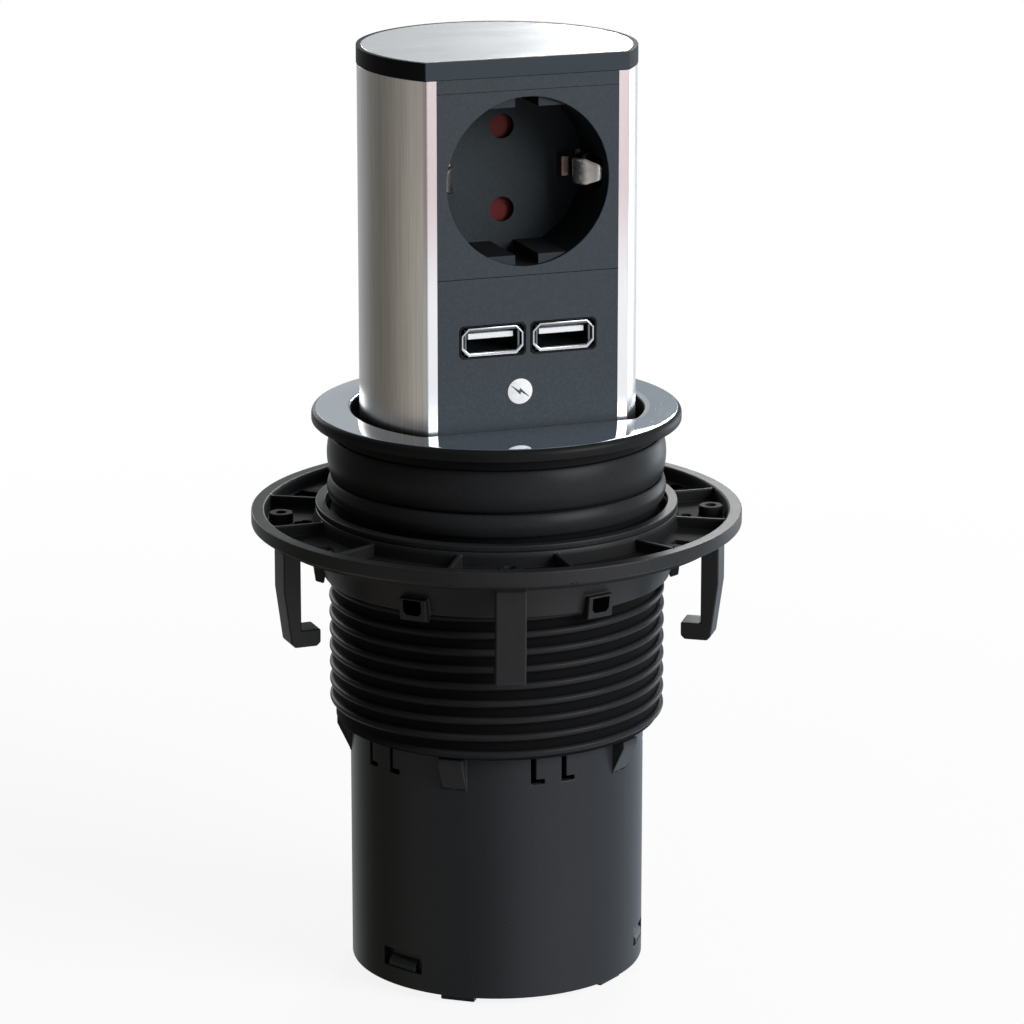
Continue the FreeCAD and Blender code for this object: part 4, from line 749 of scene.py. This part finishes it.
class SOCKET_OT_ports(bpy.types.Operator):
    """Makes the seats and the bright rims of the charging ports"""

    bl_idname = "socket.ports"
    bl_label = "Charging ports"

    def execute(self, context):
        # Closed eight-sided lines, one behind the other, joined into a seat and into a rolled rim. A line is
        # (half width, half height, corner, depth behind the face, lift).
        centre_z = (PORT_LOW.z + PORT_HIGH.z) / 2
        offset = (PORT_HIGH.x - PORT_LOW.x) / 2 - 7.8
        seat = (
            (7.76, 3.66, 0.74, 1.5, 0.0), (7.76, 3.66, 0.74, 0.04, 0.0), (7.70, 3.60, 0.72, -0.02, 0.0),
            (7.56, 3.48, 0.70, -0.02, 0.0), (7.46, 3.40, 0.70, 0.10, 0.0), (7.30, 3.26, 0.75, 0.50, 0.0),
            (7.2, 3.1, 0.9, 0.95, 0.0), (6.6, 2.88, 0.5, 1.1, 0.0), (6.52, 2.88, 0.5, 1.5, 0.0),
        )
        rim = (
            (7.30, 3.24, 1.64, 0.90, 0.0), (7.32, 3.26, 1.66, 0.12, 0.0), (7.28, 3.22, 1.64, 0.0, 0.0),
            (7.20, 3.14, 1.60, -0.05, 0.0), (7.00, 2.84, 1.50, -0.05, 0.10), (6.90, 2.70, 1.44, 0.0, 0.14),
            (6.84, 2.62, 1.40, 0.12, 0.16), (6.82, 2.60, 1.38, 0.90, 0.16),
        )
        for name, lines, slot, replaced in (
            ("port_seats", seat, "trim_black", ["port_trims"]), ("port_rims", rim, "port_steel", ()),
        ):
            patches = []
            for x in (-offset, offset):
                rings = [
                    octagon(width, height, corner, x, FACE_Y + depth, centre_z + lift)
                    for width, height, corner, depth, lift in lines
                ]
                patches.append((np.stack(rings), True, True))
            piece = make_piece(name, patches, slot, "tower", replaced, crease=60.0)
            edge = piece.modifiers.new("edge", "BEVEL")
            edge.width = 0.12 * MM
            edge.segments = 2
            edge.angle_limit = math.radians(30)
        return {"FINISHED"}


class SOCKET_OT_sign(bpy.types.Operator):
    """Makes the printed charging sign, a lightning bolt on a disc"""

    bl_idname = "socket.sign"
    bl_label = "Charging sign"

    def execute(self, context):
        # A thin round pad in layers from its front to its back, and a bolt as a strip between two zigzag
        # lines.
        radius = context.scene.socket_sizes.sign_radius / MM
        middle = np.array([-1.9, 141.6])
        turn = np.linspace(0, 2 * math.pi, 72, endpoint=False)
        circle = radius * np.stack((np.cos(turn), np.sin(turn)), axis=-1)
        disc = layered(circle, [(0.0, -0.05), (0.98, -0.05), (1.0, -0.03), (1.0, 0.1), (0.0, 0.1)])
        patches = [(disc + (middle[0], FACE_Y, middle[1]), False, True)]
        make_piece("sign_disc", patches, "face_grey", "tower", (), "sign_white")
        left = np.array([(0.20, 1.0), (-0.30, -0.14), (-0.03, -0.10), (-0.20, -1.0)])
        right = np.array([(0.24, 1.0), (0.03, 0.10), (0.30, 0.14), (-0.16, -1.0)])
        tilt = math.radians(68)
        spin = np.array([(math.cos(tilt), -math.sin(tilt)), (math.sin(tilt), math.cos(tilt))])
        strip = np.stack([middle + (side * radius * 0.86) @ spin.T for side in (left, right)], axis=1)
        front, back = (np.insert(strip, 1, FACE_Y - rise, axis=2) for rise in (0.07, 0.0))
        bolt = np.concatenate((front, back[:, ::-1]), axis=1)
        caps = [np.stack((bolt[end, :2], bolt[end, :1:-1])) for end in (0, -1)]
        patches = [(bolt, False, True), *((cap, False, False) for cap in caps)]
        make_piece("sign_bolt", patches, "face_grey", "tower", (), "sign_dark", 20.0)
        return {"FINISHED"}


class SOCKET_OT_lips(bpy.types.Operator):
    """Makes the bright strips on the shell's lips beside the face"""

    bl_idname = "socket.lips"
    bl_label = "Shell lips"

    def execute(self, context):
        # A flat bar on each lip, in layers from the shell's foot to its top.
        low, high = SHELL_LOW.z + 0.1, SHELL_HIGH.z - 0.1
        outline = np.array([(-1.08, -0.08), (1.08, -0.08), (1.08, 0.05), (-1.08, 0.05)])
        bar = layered(outline, [(0.0, low), (1.0, low), (1.0, high), (0.0, high)])[..., [0, 2, 1]]
        patches = [(bar + (x, FACE_Y, 0.0), False, True) for x in (-22.47, 22.47)]
        make_piece("shell_lips", patches, "brushed_shell", "tower")
        return {"FINISHED"}


class SOCKET_OT_catches(bpy.types.Operator):
    """Makes black pads on the clamp ring's catches, painted shade where their hollows lie"""

    bl_idname = "socket.catches"
    bl_label = "Catch hollows"

    def execute(self, context):
        # A thin six-sided black pad on the slanted front of each catch, painted shade where its hollow lies,
        # in layers from its back to its front. The front starts at the catch's foot and leans out over its
        # height.
        foot_distance, foot, lean, catch_height = 41.85, 92.7, 0.6, 5.2
        pad_middle = 96.1
        first_bearing, spacing = -76, 60
        outline = np.array([(-2.2, 1.7), (-2.2, -1.0), (-1.5, -1.8), (1.5, -1.8), (2.2, -1.0), (2.2, 1.7)])
        pad = layered(outline, [(0.0, -0.15), (1.0, -0.15), (1.0, 0.03), (0.0, 0.03)])
        across, rise, up = np.moveaxis(pad, -1, 0)
        height = pad_middle + up
        distance = foot_distance + (height - foot) * lean / catch_height + rise
        patches = []
        for bearing in np.radians(first_bearing + spacing * np.arange(6)):
            c, s = math.cos(bearing), math.sin(bearing)
            points = np.stack((distance * c - across * s, distance * s + across * c, height), axis=-1)
            patches.append((points, False, True))
        make_piece("catch_shade_pads", patches, "satin_black", "ring", (), "shade_pad_black", 20.0)
        return {"FINISHED"}


class SOCKET_OT_tower(bpy.types.Operator):
    """Finishes the tower's outside"""

    bl_idname = "socket.tower"
    bl_label = "Tower outside"

    def execute(self, context):
        edge = context.scene.socket_sizes.edge_width
        dress(["top_cap"], "cap_black", edge * 0.4)
        dress(["top_plate"], "bright_metal", edge * 0.6)
        dress(["aluminium_shell"], "brushed_shell", edge * 0.8)
        dress(["face_filler"], "face_grey")
        dress(["socket_faceplate"], "cup_grey", edge * 0.5)
        dress(["charger_faceplate", "blank_plate"], "face_grey", edge * 0.5)
        # The port shells get the dark metal of painted shade inside the ports
        dress(["port_shells"], "port_painted_shade")
        dress(["port_tongues"], "tongue_white", edge * 0.6)
        dress(["pin_shutter"], "shutter_red", edge * 0.5)
        return {"FINISHED"}


class SOCKET_OT_inside(bpy.types.Operator):
    """Finishes the pieces inside the tower"""

    bl_idname = "socket.inside"
    bl_label = "Tower inside"

    def execute(self, context):
        edge = context.scene.socket_sizes.edge_width
        dress(["socket_base", "terminal_block"], "base_plastic", edge)
        dress(["line_contacts"], "contact_brass")
        dress(["shutter_springs", "terminal_block_screws"], "spring_steel")
        dress(["charger_board"], "board_green")
        dress(["charger_transformer"], "trim_black", edge)
        dress(["charger_capacitor"], "spring_steel", edge)
        dress(["inner_carrier", "tower_foot", "cord_clamp"], "satin_black", edge)
        return {"FINISHED"}


class SOCKET_OT_housing(bpy.types.Operator):
    """Finishes the housing and the clamp ring"""

    bl_idname = "socket.housing"
    bl_label = "Housing and clamp ring"

    def execute(self, context):
        edge = context.scene.socket_sizes.edge_width
        dress(["bezel_gasket"], "seal_rubber", edge)
        dress(["guide_sleeve"], "satin_black", edge)
        dress(["brake_pads"], "felt", edge)
        dress(["brake_springs"], "spring_steel")
        dress(["housing_tube", "bottom_cap"], "tube_black", edge)
        dress(["clamp_ring"], "ring_black", edge * 1.4, 30.0, 3)
        dress(["slip_washer"], "ring_black", edge)
        return {"FINISHED"}


class SOCKET_OT_stage(bpy.types.Operator):
    """Makes the floor, the studio light and the camera"""

    bl_idname = "socket.stage"
    bl_label = "Stage"

    def execute(self, context):
        make_floor()
        make_world(context.scene)
        for lamp in LAMPS:
            make_lamp(*lamp)
        make_camera(context.scene)
        return {"FINISHED"}


# Bearing of the photograph's view, and the lamps as (name, place, aim, size, power, tint). Places are given
# as (right, away, up) from that view, in metres.

VIEW_BEARING = math.radians(19.68)
WHITE = (1.0, 1.0, 1.0)
LAMPS = (
    ("key_right", (0.95, -0.60, 0.55), (0, 0, 0.12), 0.70, 15.0, WHITE),
    ("rim_right", (0.80, 0.85, 0.10), (0, 0, 0.10), 0.50, 2.5, (0.90, 0.96, 1.0)),
    ("rim_left", (-0.45, 0.95, 0.35), (0, 0, 0.10), 0.40, 1.5, WHITE),
    ("plate_light", (0.195, 0.95, 0.585), (0, 0, 0.217), 0.30, 4.2, WHITE),
)

# Brightness of the studio's walls round the object, as (turn, colour) with the viewer at 0.5 and right at
# 0.75: below the horizon, above it, and overhead

LOW_WALL = [
    (0.0, (0.52, 0.56, 0.61)), (0.08, (0.40, 0.41, 0.42)), (0.135, (0.22, 0.22, 0.21)),
    (0.16, (0.10, 0.095, 0.085)), (0.22, (0.15, 0.135, 0.11)), (0.27, (0.33, 0.30, 0.26)),
    (0.31, (0.55, 0.515, 0.46)), (0.36, (0.55, 0.52, 0.48)), (0.44, (0.24, 0.23, 0.22)),
    (0.51, (0.50, 0.48, 0.48)), (0.56, (1.10, 1.03, 1.04)), (0.65, (1.22, 1.13, 1.15)),
    (0.72, (0.85, 0.86, 0.91)), (0.80, (0.62, 0.70, 0.76)), (0.92, (0.46, 0.53, 0.60)),
    (1.0, (0.52, 0.56, 0.61)),
]
HIGH_WALL = [
    (0.0, (0.33, 0.345, 0.35)), (0.03, (0.36, 0.38, 0.385)), (0.10, (0.26, 0.27, 0.27)),
    (0.16, (0.20, 0.20, 0.20)), (0.36, (0.18, 0.18, 0.18)), (0.48, (0.16, 0.16, 0.16)),
    (0.56, (0.60, 0.60, 0.61)), (0.62, (0.70, 0.70, 0.71)), (0.82, (0.40, 0.43, 0.46)),
    (0.92, (0.24, 0.26, 0.275)), (1.0, (0.24, 0.26, 0.275)),
]
CEILING = [
    (0.0, (0.40, 0.41, 0.42)), (0.25, (0.20, 0.20, 0.20)), (0.75, (0.50, 0.51, 0.52)),
    (1.0, (0.40, 0.41, 0.42)),
]

# The camera that was fitted to edges read off the photograph: the picture's size, the focal length and the
# rise in its pixels, the place in metres, the tilt down in radians and the sensor in millimetres

PHOTO_PIXELS = 1024
FOCAL_PIXELS = 4519.8
RISE_PIXELS = -40.0
CAMERA_PLACE = (0.00355, -1.00318, 0.38144)
CAMERA_TILT = 0.2573
SENSOR_WIDTH = 36.0


def seen_from(point):
    """A point given as (right, away, up) from the photograph's view, turned into the object's own frame."""
    right, away, up = point
    c, s = math.cos(VIEW_BEARING), math.sin(VIEW_BEARING)
    return Vector((right * c + away * s, -right * s + away * c, up))


def make_lamp(name, place, aim, size, power, tint):
    """A square soft light that looks at a point."""
    lamp = bpy.data.lights.new(name, "AREA")
    lamp.size = size
    lamp.energy = power
    lamp.color = tint
    thing = bpy.data.objects.new(name, lamp)
    thing.location = seen_from(place)
    thing.rotation_euler = (seen_from(aim) - thing.location).to_track_quat("-Z", "Y").to_euler()
    bpy.context.scene.collection.objects.link(thing)


def make_floor():
    """A round pale floor: rings about its middle, all at the height of the stand feet. The camera sees it
    nearly white, and whiter far from the object, and mirrors don't see it."""
    turn = np.linspace(0, 2 * math.pi, 96, endpoint=False)
    rings = [ring_of(distance, 0.0, turn) for distance in (0.0, 100.0, 300.0, 800.0)]
    mesh = make_mesh("floor", [(np.stack(rings), False, True)])
    floor = bpy.data.objects.new("floor", mesh)
    bpy.context.scene.collection.objects.link(floor)
    finish = Finish("floor_paper", Roughness=0.9, Specular_IOR_Level=0.1)
    seen = finish.node("LightPath", output="Is Camera Ray")
    mirrored = finish.node("LightPath", output="Is Glossy Ray")
    paper = finish.blend(finish.noise(finish.place(), 900.0, 3.0, 0.6), (0.96, 0.96, 0.96), WHITE)
    finish.give(Base_Color=finish.blend(seen, (0.24, 0.24, 0.24), paper))
    far = finish.off_axis((1, 1, 1)).past(100, 620)
    glow = finish.node("Emission", {}, {"Color": WHITE})
    shown = finish.node("MixShader", {}, {0: seen * (0.88 + 0.12 * far), 1: finish.lit, 2: glow})
    clear = finish.node("BsdfTransparent")
    finish.show(finish.node("MixShader", {}, {0: mirrored, 1: shown, 2: clear}))
    mesh.materials.append(finish.material)


def make_world(scene):
    """A studio whose walls differ in brightness with their bearing: bright on the right, dim on the left and
    behind the viewer. The camera sees white."""
    world = bpy.data.worlds.new("studio")
    scene.world = world
    walls = Graph(world)
    way = walls.node("TexCoord", output="Generated")
    x, y, z = (walls.part(way, axis) for axis in "XYZ")
    c, s = math.cos(VIEW_BEARING), math.sin(VIEW_BEARING)
    right, near = x * c - y * s, x * -s - y * c
    bearing = right.maths("ARCTAN2", right, near) / (2 * math.pi) + 0.5
    low, high, overhead = (
        walls.node("ValToRGB", {"stops": stops}, {"Fac": bearing}, "Color")
        for stops in (LOW_WALL, HIGH_WALL, CEILING)
    )
    wall = walls.blend(z.above(-0.28, 0.04), low, high)
    wall = walls.blend(z.above(0.45, 0.75), wall, overhead)
    seen = walls.node("LightPath", output="Is Camera Ray")
    mirrored = walls.node("LightPath", output="Is Glossy Ray")
    sky = {"Color": walls.blend(seen, wall, WHITE), "Strength": 0.35 + 0.65 * seen + 1.05 * mirrored}
    walls.node("OutputWorld", {}, {"Surface": walls.node("Background", {}, sky)}, None)


def make_camera(scene):
    """The camera at the photograph's viewing angle."""
    camera = bpy.data.cameras.new("camera")
    camera.sensor_width = SENSOR_WIDTH
    camera.lens = FOCAL_PIXELS / PHOTO_PIXELS * SENSOR_WIDTH
    camera.shift_y = RISE_PIXELS / PHOTO_PIXELS
    camera.clip_start = 0.05
    camera.clip_end = 50.0
    thing = bpy.data.objects.new("camera", camera)
    thing.location = seen_from(CAMERA_PLACE)
    thing.rotation_euler = (math.pi / 2 - CAMERA_TILT, 0, -VIEW_BEARING)
    scene.collection.objects.link(thing)
    scene.camera = thing


class SOCKET_PT_panel(bpy.types.Panel):
    """Lists the desk socket's sizes, colours and pieces"""

    bl_idname = "SOCKET_PT_panel"
    bl_label = "Desk socket"
    bl_space_type = "VIEW_3D"
    bl_region_type = "UI"
    bl_category = "Desk socket"

    def draw(self, context):
        for group in (context.scene.socket_sizes, context.scene.socket_colours):
            for name in type(group).__annotations__:
                self.layout.prop(group, name)
        for operator in OPERATORS:
            self.layout.operator(operator.bl_idname)


OPERATORS = (
    SOCKET_OT_finishes, SOCKET_OT_bezel, SOCKET_OT_collar, SOCKET_OT_earth_clips, SOCKET_OT_ports,
    SOCKET_OT_sign, SOCKET_OT_lips, SOCKET_OT_catches, SOCKET_OT_tower, SOCKET_OT_inside, SOCKET_OT_housing,
    SOCKET_OT_stage,
)
CLASSES = (SocketSizes, SocketColours, *OPERATORS, SOCKET_PT_panel)


def register():
    for item in CLASSES:
        bpy.utils.register_class(item)
    bpy.types.Scene.socket_sizes = bpy.props.PointerProperty(type=SocketSizes)
    bpy.types.Scene.socket_colours = bpy.props.PointerProperty(type=SocketColours)


def unregister():
    del bpy.types.Scene.socket_colours
    del bpy.types.Scene.socket_sizes
    for item in reversed(CLASSES):
        bpy.utils.unregister_class(item)


def main():
    """Makes every piece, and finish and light."""
    register()
    bpy.ops.socket.finishes()
    bpy.ops.socket.bezel()
    bpy.ops.socket.collar()
    bpy.ops.socket.earth_clips()
    bpy.ops.socket.ports()
    bpy.ops.socket.sign()
    bpy.ops.socket.lips()
    bpy.ops.socket.catches()
    bpy.ops.socket.tower()
    bpy.ops.socket.inside()
    bpy.ops.socket.housing()
    bpy.ops.socket.stage()
    bpy.context.scene.view_settings.view_transform = "Standard"


if __name__ == "__main__":
    main()
